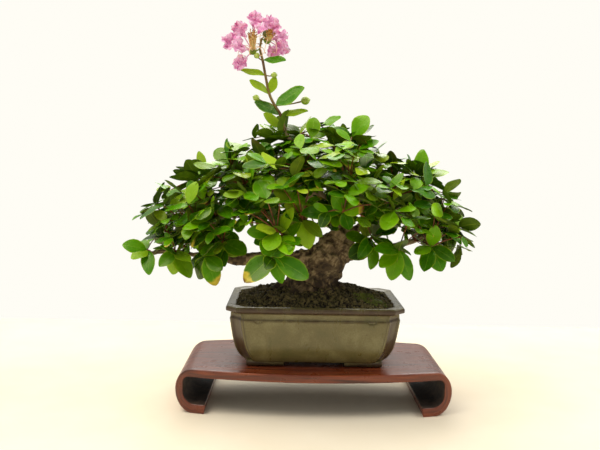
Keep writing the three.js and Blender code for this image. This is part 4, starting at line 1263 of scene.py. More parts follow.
    def build(self, bench: Bench) -> None:
        """Throws the shell, sets its feet, cuts its drainage holes and lays its mouldings."""
        bm = bmesh.new()
        thin, rubbed = number_on(bm, "thin"), number_on(bm, "rubbed")
        rings = []
        for i, (height, inset, bare) in enumerate(self.outside):
            fade = clamp((self.bead_to - height) / 1.5) * clamp((height - self.bead_from) / 1.5)
            rings.append((height, bare, self.ring(inset, fade if i < self.outer_rings else 0.0)))
        first, last = rings[0], rings[-1]
        columns = len(first[2])
        rows = len(rings) + 1

        def place(u: float, v: float) -> Vector:
            """A point of the shell, from the middle of its underside out, up and in to its inner floor."""
            row, column = round(v * rows), round(u * columns) % columns
            if row in (0, rows):
                return Vector((0, 0, self.base + (first if row == 0 else last)[0]))
            height, _, ring = rings[row - 1]
            point = ring[column][0].copy()
            point.z = self.base + height
            return point

        verts = skin(bm, columns, rows, place, closed=True)
        known = {}
        for height, bare, ring in rings:
            for point, edge in ring:
                known[(round(point.x, 2), round(point.y, 2), round(height, 2))] = max(bare, edge)
        for vert in verts:
            key = (round(vert.co.x, 2), round(vert.co.y, 2), round(vert.co.z - self.base, 2))
            vert[thin] = known.get(key, 0.2)
            inner = max(abs(vert.co.x) - self.width / 2, abs(vert.co.y) - self.depth / 2)
            # painted highlight: marks the inner part of the rim's flat top for the glaze to lighten
            vert[rubbed] = clamp((key[2] - 41.5) * 2) * clamp((inner + 7) / 2) * clamp((-inner - 0.6) / 1.5)
        inset = self.outside[0][1] + self.foot_inset
        for sx in (-1, 1):
            for sy in (-1, 1):
                middle = Vector((
                    sx * (self.width / 2 - inset - self.foot_length / 2),
                    sy * (self.depth / 2 - inset - self.foot_depth / 2),
                    self.base + self.foot_height / 2 + 0.4,
                ))
                size = Matrix.Diagonal((self.foot_length, self.foot_depth, self.foot_height + 0.8, 1))
                cube = bmesh.ops.create_cube(bm, size=1, matrix=Matrix.Translation(middle) @ size)["verts"]
                for vert in cube:
                    vert[thin] = 0.7
                edges = list({edge for vert in cube for edge in vert.link_edges})
                soft = {"offset": self.edge, "segments": 2, "profile": 0.5, "affect": "EDGES", "material": -1}
                bmesh.ops.bevel(bm, geom=edges, **soft)
        bm = self.drilled(bm)
        self.moulding(bm)
        bench.put(bm, "glazed_pot", [CELADON], ["pot"], crease=38)

    def drilled(self, bm: bmesh.types.BMesh) -> bmesh.types.BMesh:
        """The shell and feet as one body, with the drainage holes cut through its floor."""
        for face in bm.faces:
            face.smooth = True
        bmesh.ops.recalc_face_normals(bm, faces=bm.faces)
        drills = bmesh.new()
        for side in (-1, 1):
            size = {"radius1": self.hole_radius, "radius2": self.hole_radius, "depth": self.drill_depth}
            matrix = Matrix.Translation((side * self.hole_spacing / 2, 0, self.base + 8))
            bmesh.ops.create_cone(drills, cap_ends=True, segments=40, matrix=matrix, **size)
        mesh = mesh_from(drills)
        holder = put_in_scene("drills", mesh)
        cut = {"operation": "DIFFERENCE", "object": holder, "solver": "EXACT", "use_self": True}
        done = baked(bm, ("BOOLEAN", cut))
        bpy.data.objects.remove(holder)
        bpy.data.meshes.remove(mesh)
        return done


# ---- Drainage ------------------------------------------------------------------------------------


@dataclass
class Drainage:
    """The screens over the drainage holes and the wires that hold them, which keep their CAD shapes."""

    screens: tuple[str, ...] = ("drain_screen_left", "drain_screen_right")
    clips: tuple[str, ...] = ("drain_clip_left", "drain_clip_right")

    def dress(self) -> None:
        """Gives the CAD nodes their finishes."""
        for names, finish in ((self.screens, SCREEN), (self.clips, WIRE)):
            for name in names:
                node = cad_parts[name]
                node.data.materials.clear()
                node.data.materials.append(finish.material())
                log.info("%s: keeps its CAD shape in %s", name, finish.name)


# ---- Soil and moss -------------------------------------------------------------------------------


@dataclass
class SoilBed:
    """The mound of gritty soil in the pot, the loose granules that cover it and a cushion of moss."""

    pot: Pot
    wall: float = 6.3  # from the rim's edge to the soil
    below_rim: float = 2.0
    crown: float = 8.6  # height of the mound over the rim
    grains: int = 5600
    batch: int = 150  # granules made at a time
    smallest: float = 0.6
    largest: float = 1.55
    moss_at: tuple[float, float] = (38.0, -21.0)
    moss_size: tuple[float, float] = (15.0, 8.5)
    moss_tufts: int = 1500
    moss_batch: int = 100
    rows: int = 30
    # Rings of the pot's hollow from its floor up: how far in from the rim's edge, and height over the feet.
    hollow: tuple[tuple[float, float], ...] = ((14.3, 7.3), (10.8, 14.0), (8.3, 24.0), (6.3, 34.5))

    def share(self, x: float, y: float) -> float:
        """How far a place lies from the middle of the soil, as a share of the way to the pot's wall."""
        across, deep = self.pot.width / 2 - self.wall, self.pot.depth / 2 - self.wall
        return (abs(x / across) ** 3.2 + abs(y / deep) ** 3.2) ** (1 / 3.2)

    def height(self, x: float, y: float, rim: float) -> float:
        """Height of the mound at a place."""
        share = min(1.0, self.share(x, y))
        lump = noise.noise(Vector((x * 0.09, y * 0.09, 3))) * 2.0
        lump += noise.noise(Vector((x * 0.24, y * 0.24, 9))) * 1.3
        return rim - self.below_rim + (self.crown + self.below_rim) * (1 - share**2.4) + lump * (1 - share**6)

    def mound(self, bench: Bench) -> None:
        """Fills the pot with one closed body of soil."""
        rim = bench.site.rim
        bm = bmesh.new()
        hollow = [*self.hollow, (self.wall, self.pot.height - self.below_rim)]
        walls = [[p for p, _ in self.pot.ring(inset, 0.0)] for inset, _ in hollow]
        columns = len(walls[0])
        rows = len(hollow) + self.rows

        def place(u: float, v: float) -> Vector:
            """A point of the body, from the middle of its underside up the wall and over the mound."""
            row, column = round(v * rows), round(u * columns) % columns
            if row == 0:
                return Vector((0, 0, self.pot.base + hollow[0][1]))
            if row <= len(hollow):
                edge = walls[row - 1][column]
                return Vector((edge.x, edge.y, self.pot.base + hollow[row - 1][1]))
            share = 1 - (row - len(hollow)) / self.rows
            edge = walls[-1][column] * share
            return Vector((edge.x, edge.y, self.height(edge.x, edge.y, rim)))

        skin(bm, columns, rows, place, closed=True)
        bench.put(bm, "soil_body", [EARTH], ["soil"], crease=70)

    def scatter(self, bench: Bench) -> None:
        """Covers the mound with granules, a few of which have climbed onto the rim's inner edge."""
        rim = bench.site.rim
        draw = random.Random(41)
        across, deep = self.pot.width / 2 - self.wall, self.pot.depth / 2 - self.wall
        whole = bmesh.new()
        number_on(whole, "tone")
        made = 0
        while made < self.grains:
            part = bmesh.new()
            tone = number_on(part, "tone")
            for _ in range(self.batch):
                x, y = draw.uniform(-across, across) * 1.005, draw.uniform(-deep, deep) * 1.01
                if abs(x) + abs(y) > across + deep - self.pot.corner - 1.0:
                    continue
                radius = lerp(self.smallest, self.largest, draw.random() ** 2.2)
                high = self.height(x, y, rim) + radius * draw.uniform(0.0, 0.75)
                centre = Vector((x, y, high))
                turned = Vector([draw.gauss(0, 1) for _ in range(3)]).normalized()
                verts = ball(part, centre, radius, turned, draw.uniform(0.75, 1.35))
                value = draw.random() ** 2
                for vert in verts:
                    vert.co += (vert.co - centre) * draw.uniform(-0.22, 0.22)
                    vert[tone] = value
            made += self.batch
            join(whole, part)
        bench.put(whole, "soil_granules", [GRAIN], crease=80)

    def moss(self, bench: Bench) -> None:
        """Grows a low lumpy cushion of moss out of short tufts."""
        rim = bench.site.rim
        draw = random.Random(7)
        whole = bmesh.new()
        number_on(whole, "tone")
        for _ in range(self.moss_tufts // self.moss_batch):
            part = bmesh.new()
            tone = number_on(part, "tone")
            for _ in range(self.moss_batch):
                angle, far = draw.uniform(0, 2 * math.pi), math.sqrt(draw.random())
                x = self.moss_at[0] + self.moss_size[0] * far * math.cos(angle)
                y = self.moss_at[1] + self.moss_size[1] * far * math.sin(angle)
                patchy = noise.noise(Vector((x * 0.35, y * 0.35, 5)))
                if patchy < far - 0.75:
                    continue
                x, y = clamp(x, -52, 52.5), clamp(y, -35, 35)
                ground = self.height(x, y, rim)
                lean = Vector((draw.gauss(0, 0.35), draw.gauss(0, 0.35), 1)).normalized()
                tall = draw.uniform(0.9, 1.9) * (1.15 - 0.5 * far)
                matrix = Matrix.Translation(Vector((x, y, ground + 0.6)) + lean * tall / 2)
                matrix = matrix @ lean.to_track_quat("Z", "Y").to_matrix().to_4x4()
                size = {"radius1": draw.uniform(0.35, 0.6), "radius2": 0.08, "depth": tall}
                made = bmesh.ops.create_cone(part, cap_ends=True, segments=4, matrix=matrix, **size)["verts"]
                value = draw.random()
                for vert in made:
                    vert[tone] = value
            join(whole, part)
        base = Vector((self.moss_at[0], self.moss_at[1], self.height(*self.moss_at, rim) - 1.5))
        flat = Matrix.Diagonal((self.moss_size[0] * 0.6, self.moss_size[1] * 0.62, 2.2, 1))
        matrix = Matrix.Translation(base) @ flat
        cushion = bmesh.ops.create_icosphere(whole, subdivisions=3, radius=1, matrix=matrix)["verts"]
        for vert in cushion:
            vert.co.z += noise.noise(vert.co * 0.5) * 0.6
        bench.put(whole, "moss_cushion", [MOSS], ["moss"], crease=80)

    def build(self, bench: Bench) -> None:
        """Makes the mound, its granules and its moss."""
        self.mound(bench)
        self.scatter(bench)
        self.moss(bench)


# ---- Wood ----------------------------------------------------------------------------------------


@dataclass(frozen=True)
class Swelling:
    """A burr on the trunk, or a hollow where its depth is negative: middle over the rim, width, height."""

    centre: Point
    width: float
    depth: float


@dataclass
class Wood:
    """The trunk with its roots and all its branches, grown together into one body, in millimetres."""

    voxel: float = 0.62
    sides: int = 14
    per_span: int = 5
    swellings: tuple[Swelling, ...] = (
        Swelling((17, -13, 34), 3.2, -3.0),
        Swelling((16, -15, 26), 3.0, -2.6),
        Swelling((20, -11, 29), 2.6, -2.0),
        Swelling((13, -14, 30), 4.0, 2.0),
        Swelling((22, -10, 35), 4.5, 2.4),
        Swelling((3, -14, 34), 4.2, 1.6),
        Swelling((-8, -14, 22), 5.0, 2.0),
        Swelling((-10, -10, 12), 4.0, 1.6),
        Swelling((4, -17, 16), 4.0, 1.5),
        Swelling((12, -15, 14), 3.0, 1.3),
        Swelling((-2, -18, 9), 4.5, 1.6),
        Swelling((16, 10, 34), 4.5, 2.0),
        Swelling((4, 15, 24), 5.0, 2.0),
        Swelling((10, 13, 16), 3.2, -2.2),
        Swelling((26, 2, 44), 4.0, 1.8),
        Swelling((-45, -12, 29), 3.2, 1.5),
        Swelling((-62, -8, 30), 3.4, 1.5),
    )

    def centrelines(self, rim: float) -> list[Line]:
        """Places and radii along the middle of every limb and root."""
        return [smooth_line(limb, rim, self.per_span) for limbs in WOOD.values() for limb in limbs]

    def knobbed(self, line: Line, seed: int) -> Line:
        """A limb's line with the small kinks and thick joints of wood that has been pruned for years."""
        out: Line = []
        for i, (place, radius) in enumerate(line):
            kink = noise.noise_vector(Vector((seed * 7.3, i * 0.55, 0))) * min(0.8, radius * 0.28)
            thick = 1 + 0.2 * noise.noise(Vector((i * 0.8, seed * 3.1, 4)))
            out.append((place + kink, radius * thick))
        return out

    def carve(self, bm: bmesh.types.BMesh, lines: list[Line], rim: float) -> None:
        """Raises bark and burrs on the joined wood.

        Args:
            bm: The wood.
            lines: Its centrelines, which the furrows follow.
            rim: Height of the pot's rim.
        """
        steps = [(line[i], line[i + 1]) for line in lines for i in range(len(line) - 1)]
        tree = kdtree.KDTree(len(steps))
        for i, ((start, _), (end, _)) in enumerate(steps):
            tree.insert((start + end) / 2, i)
        tree.balance()
        furrow = number_on(bm, "furrow")
        grain = bm.verts.layers.float_vector.new("grain")
        bm.normal_update()
        swellings = [(Vector((*s.centre[:2], s.centre[2] + rim)), s) for s in self.swellings]
        moves = []
        for vert in bm.verts:
            _, found, _ = tree.find(vert.co)
            (start, radius), (end, _) = steps[found]
            along = (end - start).normalized()
            stretched = vert.co - along * (vert.co.dot(along) * 0.82)
            size = min(1.0, radius / 14)
            ridge = noise.fractal(stretched * 0.3, 0.9, 2.1, 4)
            wrinkle = noise.noise(stretched * 0.85)
            knob = noise.noise(vert.co * 0.13)
            lift = ridge * lerp(0.28, 0.9, size) + wrinkle * 0.16 + knob * lerp(0.3, 2.4, size)
            for centre, swelling in swellings:
                far = (vert.co - centre).length / swelling.width
                if far < 3:
                    lift += swelling.depth * math.exp(-far * far)
            moves.append(vert.normal * lift)
            # the height term makes the bark paler up the trunk and darker near the soil: painted light and
            # painted shade
            vert[furrow] = ridge + wrinkle * 0.3 + 0.6 * clamp((vert.co.z - rim) / 34)
            vert[grain] = stretched
        for vert, move in zip(bm.verts, moves):
            vert.co += move

    def build(self, bench: Bench) -> None:
        """Grows the limbs together, then carves them."""
        lines = self.centrelines(bench.site.rim)
        bm = bmesh.new()
        for i, line in enumerate(lines):
            rod(bm, self.knobbed(line, i), self.sides)
        bm = baked(bm, ("REMESH", {"mode": "VOXEL", "voxel_size": self.voxel, "use_smooth_shade": True}))
        self.carve(bm, lines, bench.site.rim)
        for face in bm.faces:
            face.smooth = True
        bench.put(bm, "trunk_and_branches", [BARK], list(WOOD), crease=180)


# ---- Leaves --------------------------------------------------------------------------------------


class Slot(IntEnum):
    """The material slots of a leafy piece."""

    FACE = 0
    BACK = 1
    STEM = 2
    BUD = 3
    OLD_BUD = 4


@dataclass
class Leaf:
    """One leaf: where it grows, how it lies, and how it has weathered. Lengths in millimetres."""

    foot: Vector
    direction: Vector
    up: Vector
    length: float
    width: float
    sag: float = 0.12  # how far its tip bends down, as a share of its length
    fold: float = 0.25  # how steeply its halves rise from the midrib
    wave: float = 0.03  # how far its margin waves, as a share of its length
    twist: float = 0.0
    belly: float = 0.52  # where it is widest
    tone: float = 0.5
    young: float = 0.0
    burn: float = 0.0
    petiole: float = 0.05  # share of its length
    thickness: float = 0.36

    def half_width(self, along: float) -> float:
        """Half of the width at a share of the length."""
        if along <= self.petiole:
            return 0.38
        share = (along - self.petiole) / (1 - self.petiole)
        bulge = math.sin(math.pi * share ** (math.log(0.5) / math.log(self.belly)))
        return max(0.38 * (1 - share), self.width / 2 * max(0.0, bulge) ** 0.62)

    def place(self, across: float, along: float, layer: float) -> Vector:
        """A point of the leaf.

        Args:
            across: From -1 at one margin to 1 at the other.
            along: From 0 at its foot to 1 at its tip.
            layer: 1 on its face, -1 on its back, 0 at its margin.

        Returns:
            The point, in millimetres.
        """
        side = self.up.cross(self.direction)
        half = self.half_width(along) if 0 < along < 1 else 0.0
        off = abs(across)
        lift = self.fold * half * off * (1 - 0.35 * off)
        lift -= self.sag * self.length * along**2
        lift += self.wave * self.length * off * math.sin(9 * along + 3 * across + 7 * self.tone)
        lift += self.twist * half * across * along
        lift += layer * self.thickness / 2 * (1 - off**2) * min(1.0, 6 * (1 - along))
        reach = self.length * (along - 0.06 * off**2 * math.sin(math.pi * along))
        return self.foot + self.direction * reach + side * (half * across) + self.up * lift


class LeafPattern:
    """A flat leaf of two sheets joined at the margin, from which every leaf is bent."""

    ROWS = (0.0, 0.05, 0.11, 0.21, 0.36, 0.52, 0.68, 0.81, 0.91, 0.97, 1.0)
    ACROSS = 4

    def __init__(self) -> None:
        """Draws the pattern, with each vertex at its shares across and along and its layer."""
        bm = bmesh.new()
        bm.loops.layers.uv.new("UVMap")
        for name in ("tone", "young", "burn"):
            number_on(bm, name)
        rows = len(self.ROWS) - 1
        for slot, layer in ((Slot.FACE, 1.0), (Slot.BACK, -1.0)):

            def place(u: float, v: float) -> Vector:
                """A point of one sheet, which meets the other at its margin and both ends."""
                across, along = 2 * u - 1, self.ROWS[round(v * rows)]
                if along in (0.0, 1.0):
                    return Vector((0, along, 0))
                return Vector((across, along, 0.0 if abs(across) > 0.99 else layer))

            skin(bm, self.ACROSS, rows, place, material=slot)
        chart = bm.loops.layers.uv.active
        for face in bm.faces:
            for loop in face.loops:
                loop[chart].uv = (loop.vert.co.x / 2 + 0.5, loop.vert.co.y)
        bmesh.ops.remove_doubles(bm, verts=bm.verts, dist=1e-4)
        self.mesh = mesh_from(bm, "leaf_pattern")

    def cut(self, bm: bmesh.types.BMesh, leaf: Leaf) -> None:
        """Adds a leaf to a mesh."""
        count = len(bm.verts)
        bm.from_mesh(self.mesh)
        bm.verts.ensure_lookup_table()
        layers = bm.verts.layers.float
        tone, young, burn = layers["tone"], layers["young"], layers["burn"]
        for vert in bm.verts[count:]:
            vert[tone], vert[young], vert[burn] = leaf.tone, leaf.young, leaf.burn
            vert.co = leaf.place(*vert.co)


class Dice:
    """The run of numbers from 0 to 1 that the tree's solids were grown with."""

    def __init__(self, seed: int) -> None:
        """Starts the run."""
        self.state = seed

    def roll(self) -> float:
        """The next number."""
        self.state = self.state * 48271 % 2147483647
        return self.state / 2147483647


@dataclass
class Space:
    """Knows what fills the crown, in cubes, so that it can tell how much room a new leaf has."""

    cube: float = 10.0
    cubes: dict[tuple[int, ...], list[Vector]] = field(default_factory=dict)

    def of(self, place: Vector) -> tuple[int, ...]:
        """The cube that holds a place."""
        return tuple(math.floor(at / self.cube) for at in place)

    def fill(self, places: Iterable[Vector]) -> None:
        """Marks places as taken."""
        for place in places:
            self.cubes.setdefault(self.of(place), []).append(place)

    def room(self, places: Iterable[Vector]) -> float:
        """Distance from the places to the nearest taken one, and at most the side of a cube."""
        least = self.cube**2
        for place in places:
            x, y, z = self.of(place)
            for i, j, k in product((-1, 0, 1), repeat=3):
                for other in self.cubes.get((x + i, y + j, z + k), ()):
                    least = min(least, (place - other).length_squared)
        return math.sqrt(least)


@dataclass
class Twig:
    """A shoot's own wood: a bent line from the branch to its last leaf."""

    start: Vector
    bend: Vector
    tip: Vector
    axis: Vector  # the way that the whole shoot points

    def at(self, share: float) -> Vector:
        """The point at that share of its length."""
        rest = 1 - share
        return self.start * rest**2 + self.bend * (2 * share * rest) + self.tip * share**2


@dataclass(frozen=True)
class Dome:
    """The outer part of the crown: a broad dome with a hollow heart, in millimetres over the rim."""

    highest: float = 122.0
    middle: float = -4.0
    shoulder: float = 25.0  # from its middle to where the top starts to fall
    fall: float = 0.6  # of the top, for each millimetre beyond the shoulder
    lowest: float = 57.0
    skirt: float = 20.0  # from the trunk to where the underside starts to drop
    drop: float = 0.25  # of the underside, for each millimetre beyond that
    deep: float = 60.0
    top_curve: float = 34.0  # how much lower the top is at that depth
    low_curve: float = 8.0  # how much higher the underside is at that depth
    heart: Point = (92.0, 40.0, 60.0)
    bare: float = 0.5  # share of the heart's squared size that stays bare
    outline: tuple[float, float] = (120.0, 64.0)

    def holds(self, place: Vector, heart: float) -> bool:
        """Whether a place lies in it, for a heart at that height."""
        deep = (place.y / self.deep) ** 2
        beside, beyond = abs(place.x - self.middle) - self.shoulder, abs(place.x) - self.skirt
        top = self.highest - self.fall * max(0.0, beside) - self.top_curve * deep
        low = self.lowest - self.drop * max(0.0, beyond) + self.low_curve * deep
        inner = (place.x / self.heart[0]) ** 2 + (place.y / self.heart[1]) ** 2
        inner += ((place.z - heart) / self.heart[2]) ** 2
        outer = (place.x / self.outline[0]) ** 2 + (place.y / self.outline[1]) ** 2
        return low < place.z < top and inner > self.bare and outer < 1


@dataclass
class Crown:
    """All the leafy shoots. The first leaves of each lie where its solid has them; smaller ones fill in."""

    length: float = 18.5
    width_share: float = 0.64
    heel: float = 0.4
    roomy: float = 9.5
    tries: int = 12
    level: float = 0.6  # share of its rise that a leaf keeps
    spots: tuple[float, ...] = (0.35, 0.65, 0.95)  # shares of its length where it keeps away from others
    wood_step: float = 6.0
    rise: float = 0.1  # height of a twig's bend, as a share of its span
    fork: float = 0.35  # share of the first twig's length at which the others of its name fork off
    twig_base: float = 0.95
    twig_tip: float = 0.5
    heart: Vector = field(default_factory=lambda: Vector((0, 0, 46)))
    extra: float = 0.6  # small leaves for each large one
    extra_roomy: float = 4.5
    spur: float = 6.0  # the furthest that a small leaf stands off its twig
    burnt_share: float = 0.05
    dome: Dome = Dome()
    sprays: int = 7000  # places that are tried for a spray
    search: tuple[tuple[float, float], ...] = ((-122, 104), (-62, 62), (30, 126))  # where they are tried
    spray_room: float = 6.5
    spray_reach: float = 36.0  # the furthest that a spray stands off the nearest twig
    space: Space = field(default_factory=Space)
    twigs: dict[str, list[Twig]] = field(default_factory=dict)
    side_twigs: dict[str, list[tuple[Vector, Vector]]] = field(default_factory=dict)

    def __post_init__(self) -> None:
        """Keeps the leaves away from the wood."""
        self.dice = Dice(2024)
        self.draw = random.Random(11)
        for limb in (limb for limbs in WOOD.values() for limb in limbs):
            for before, after in zip(limb.points, limb.points[1:]):
                start, end = Vector(before), Vector(after)
                count = math.ceil((end - start).length / self.wood_step)
                self.space.fill(start.lerp(end, k / count) for k in range(count))

    def twig(self, shoot: Shoot) -> Twig:
        """A shoot's twig, from the wood or forked off the first twig of its name."""
        before = self.twigs.setdefault(shoot.name, [])
        start = before[0].at(self.fork) if before else Vector(WOOD[shoot.branch][0].points[shoot.knot])
        end = Vector(shoot.end)
        axis = (end - start).normalized()
        span = (end - start).length
        tip = end if shoot.aims else end - axis * min(self.length, 0.6 * span)
        bend = start.lerp(tip, 0.5) + Vector((0, 0, self.rise * span))
        twig = Twig(start, bend, tip, axis)
        before.append(twig)
        return twig

    def aimed_leaves(self, shoot: Shoot, twig: Twig) -> list[Leaf]:
        """The leaves of a shoot that are listed one by one, spread from the end of its twig."""
        leaves = []
        for aim in shoot.aims:
            way = Vector(aim.end) - twig.tip
            length = way.length
            way.normalize()
            self.space.fill(twig.tip + way * (s * length) for s in self.spots)
            leaf = self.grown(twig.tip, way, Vector((0, -0.75, 0.65)), length, False)
            leaf.width = aim.width
            leaf.burn = aim.burn
            leaves.append(leaf)
        return leaves

    def main_leaves(self, shoot: Shoot, twig: Twig) -> list[Leaf]:
        """The leaves that the shoot's solid has, each in the roomiest of a few places round the twig."""
        u = Vector((twig.axis.y, -twig.axis.x, 0)).normalized()
        v = u.cross(twig.axis)
        leaves = []
        for i in range(shoot.leaves):
            last = i == shoot.leaves - 1
            foot = twig.at(1 if last else 0.25 + 0.72 * i / (shoot.leaves - 1))
            out = (foot - self.heart).normalized()
            length = self.length * (0.78 + 0.42 * self.dice.roll())
            hang = 0.1 + 0.45 * self.dice.roll() + (0.35 if foot.z < 50 else 0)
            lean = Vector([self.dice.roll() - 0.5 for _ in range(3)])
            best_room, direction, spots = -1.0, Vector(), []
            tight = 0.15 if last else 1.0
            for k in range(self.tries):
                angle = GOLDEN_TURN * i + 1.05 * k
                round_twig = u * math.cos(angle) + v * math.sin(angle)
                way = twig.axis * 0.4 + round_twig * tight + out * 0.3
                way.z = self.level * way.z - (0.3 * hang if last else hang)
                way.normalize()
                tried = [foot + way * (s * length) for s in self.spots]
                free = self.space.room(tried)
                if free > best_room:
                    best_room, direction, spots = free, way, tried
                if best_room >= self.roomy:
                    break
            self.space.fill(spots)
            up = Vector((0, 0, 0.7)) + out * 0.75 + lean * 0.6
            leaves.append(self.grown(foot, direction, up, length, last and foot.z > 40))
        return leaves

    def small_leaves(self, count: int, twig: Twig) -> list[Leaf]:
        """Smaller leaves that fill the gaps round a twig, set on short spurs."""
        leaves = []
        for _ in range(count):
            share = self.draw.uniform(0.1, 1.0)
            best_room, chosen = -1.0, None
            for _ in range(10):
                spread = Vector([self.draw.gauss(0, 1) for _ in range(3)]).normalized()
                foot = twig.at(share) + spread * self.draw.uniform(0, self.spur)
                out = (foot - self.heart).normalized()
                way = twig.axis * 0.3 + spread + out * 0.5
                way.z = self.level * way.z
                way.normalize()
                length = self.length * self.draw.uniform(0.45, 0.95)
                spots = [foot + way * (s * length) for s in (0.4, 0.9)]
                free = self.space.room(spots)
                if free > best_room:
                    best_room, chosen = free, (foot, way, out, length, spots)
                if best_room >= self.extra_roomy:
                    break
            foot, way, out, length, spots = chosen
            self.space.fill(spots)
            lean = Vector([self.draw.uniform(-0.5, 0.5) for _ in range(3)])
            up = Vector((0, 0, 0.7)) + out * 0.6 + lean
            leaves.append(self.grown(foot, way, up, length, share > 0.8 and foot.z > 60))
        return leaves

    def grown(self, foot: Vector, direction: Vector, up: Vector, length: float, at_tip: bool) -> Leaf:
        """A leaf with its own bend, tone and wear."""
        draw = self.draw
        # painted light: leaves higher in the crown are given a lighter tone, and lower, inner ones a darker
        # one
        high = clamp((foot.z - 20) / 100)
        leaf = Leaf(
            foot=foot - direction * self.heel,
            direction=direction,
            up=square_to(up, direction),
            length=length + self.heel,
            width=length * self.width_share * draw.uniform(0.82, 1.14),
            sag=draw.uniform(0.02, 0.2),
            fold=draw.uniform(0.0, 0.32),
            wave=draw.uniform(0.0, 0.03),
            twist=draw.uniform(-0.4, 0.4),
            belly=draw.uniform(0.48, 0.62),
            tone=clamp(draw.gauss(0.4 + 0.15 * high, 0.26)),
            young=draw.uniform(0.45, 1.0) if at_tip and draw.random() < 0.6 else draw.random() ** 6 * 0.5,
        )
        if draw.random() < self.burnt_share:
            leaf.burn = draw.uniform(0.4, 1.0)
        return leaf

    def build(self, bench: Bench, pattern: LeafPattern) -> None:
        """Grows every shoot: first all the large leaves, then the small ones between them."""
        grown: dict[str, list[Leaf]] = {}
        for shoot in SHOOTS:
            twig = self.twig(shoot)
            leaves = self.aimed_leaves(shoot, twig) if shoot.aims else self.main_leaves(shoot, twig)
            grown.setdefault(shoot.name, []).extend(leaves)
        for name, leaves in grown.items():
            twigs = self.twigs[name]
            count = round(len(leaves) * self.extra / len(twigs))
            for twig in twigs:
                leaves += self.small_leaves(count, twig)
        self.fill_gaps(grown)
        for name, leaves in grown.items():
            self.assemble(bench, pattern, name, leaves)

    def spray(self, foot: Vector, place: Vector) -> list[Leaf]:
        """Leaves spread from the end of a fine side twig.

        Args:
            foot: Where the side twig grows from.
            place: Where it ends.

        Returns:
            Two to four leaves.
        """
        draw = self.draw
        out = (place - self.heart).normalized()
        axis = ((place - foot).normalized() + out).normalized()
        first = square_to(Vector((0, 0, 1)), axis).cross(axis)
        second = first.cross(axis)
        start = draw.uniform(0, 2 * math.pi)
        leaves = []
        for i in range(draw.randint(2, 4)):
            angle = start + GOLDEN_TURN * i
            way = axis * draw.uniform(0.2, 0.7) + first * math.cos(angle) + second * math.sin(angle)
            way.z = 0.45 * way.z - (0.35 if place.z < 52 else 0.0)
            way.normalize()
            length = self.length * draw.uniform(0.5, 1.0)
            self.space.fill(place + way * (s * length) for s in self.spots)
            up = Vector((0, 0, 0.8)) + out * 0.5 + tangled(draw, 0.4)
            leaves.append(self.grown(place, way, up, length, i == 0 and place.z > 70))
        return leaves

    def fill_gaps(self, grown: dict[str, list[Leaf]]) -> None:
        """Grows sprays into the gaps of the crown, each from the nearest twig."""
        draw = self.draw
        twigs = [(name, twig) for name, twigs in self.twigs.items() for twig in twigs]
        knots = [(name, twig.at(k / 6)) for name, twig in twigs for k in range(7)]
        tree = kdtree.KDTree(len(knots))
        for i, (_, place) in enumerate(knots):
            tree.insert(place, i)
        tree.balance()
        for _ in range(self.sprays):
            place = Vector([draw.uniform(*reach) for reach in self.search])
            if not self.dome.holds(place, self.heart.z) or self.space.room([place]) < self.spray_room:
                continue
            foot, found, far = tree.find(place)
            if far > self.spray_reach:
                continue
            name = knots[found][0]
            self.side_twigs.setdefault(name, []).append((foot, place))
            grown[name] += self.spray(foot, place)

    def assemble(self, bench: Bench, pattern: LeafPattern, name: str, leaves: list[Leaf]) -> None:
        """Joins the leaves, spurs and twigs of one node.

        Args:
            bench: Takes the piece.
            pattern: The flat leaf that each is bent from.
            name: The CAD node that it stands for.
            leaves: Its leaves.
        """
        lift = Vector((0, 0, bench.site.rim))
        sides = self.side_twigs.get(name, [])
        spurs = [(nearest_on(self.twigs[name], sides, leaf.foot) + lift, leaf.foot + lift) for leaf in leaves]
        bm = bmesh.new()
        for leaf, (_, foot) in zip(leaves, spurs):
            leaf.foot = foot
            pattern.cut(bm, leaf)
        for start, foot in spurs:
            if (start - foot).length > 0.8:
                rod(bm, [(start, 0.34), (foot, 0.28)], 5, Slot.STEM)
        for start, end in sides:
            bend = start.lerp(end, 0.5) + Vector((0, 0, 1.2))
            places = smooth_line(Limb((tuple(start), tuple(bend), tuple(end)), (0.5, 0.42, 0.34)), lift.z, 3)
            rod(bm, places, 5, Slot.STEM)
        for twig in self.twigs[name]:
            line = []
            for k in range(9):
                kink = noise.noise_vector(twig.at(k / 8) * 0.4) * 0.5
                line.append((twig.at(k / 8) + kink + lift, lerp(self.twig_base, self.twig_tip, k / 8)))
            rod(bm, line, 7, Slot.STEM)
        piece = name.replace("shoot", "foliage")
        bench.put(bm, piece, [LEAF_FACE, LEAF_BACK, TWIG], [name], crease=70)


def nearest_on(twigs: Sequence[Twig], sides: Sequence[tuple[Vector, Vector]], point: Vector) -> Vector:
    """The point nearest to a point among those along the twigs and at the ends of the side twigs."""
    places = [twig.at(k / 16) for twig in twigs for k in range(17)] + [end for _, end in sides]
    return min(places, key=lambda place: (place - point).length_squared)


# ---- Flowers -------------------------------------------------------------------------------------


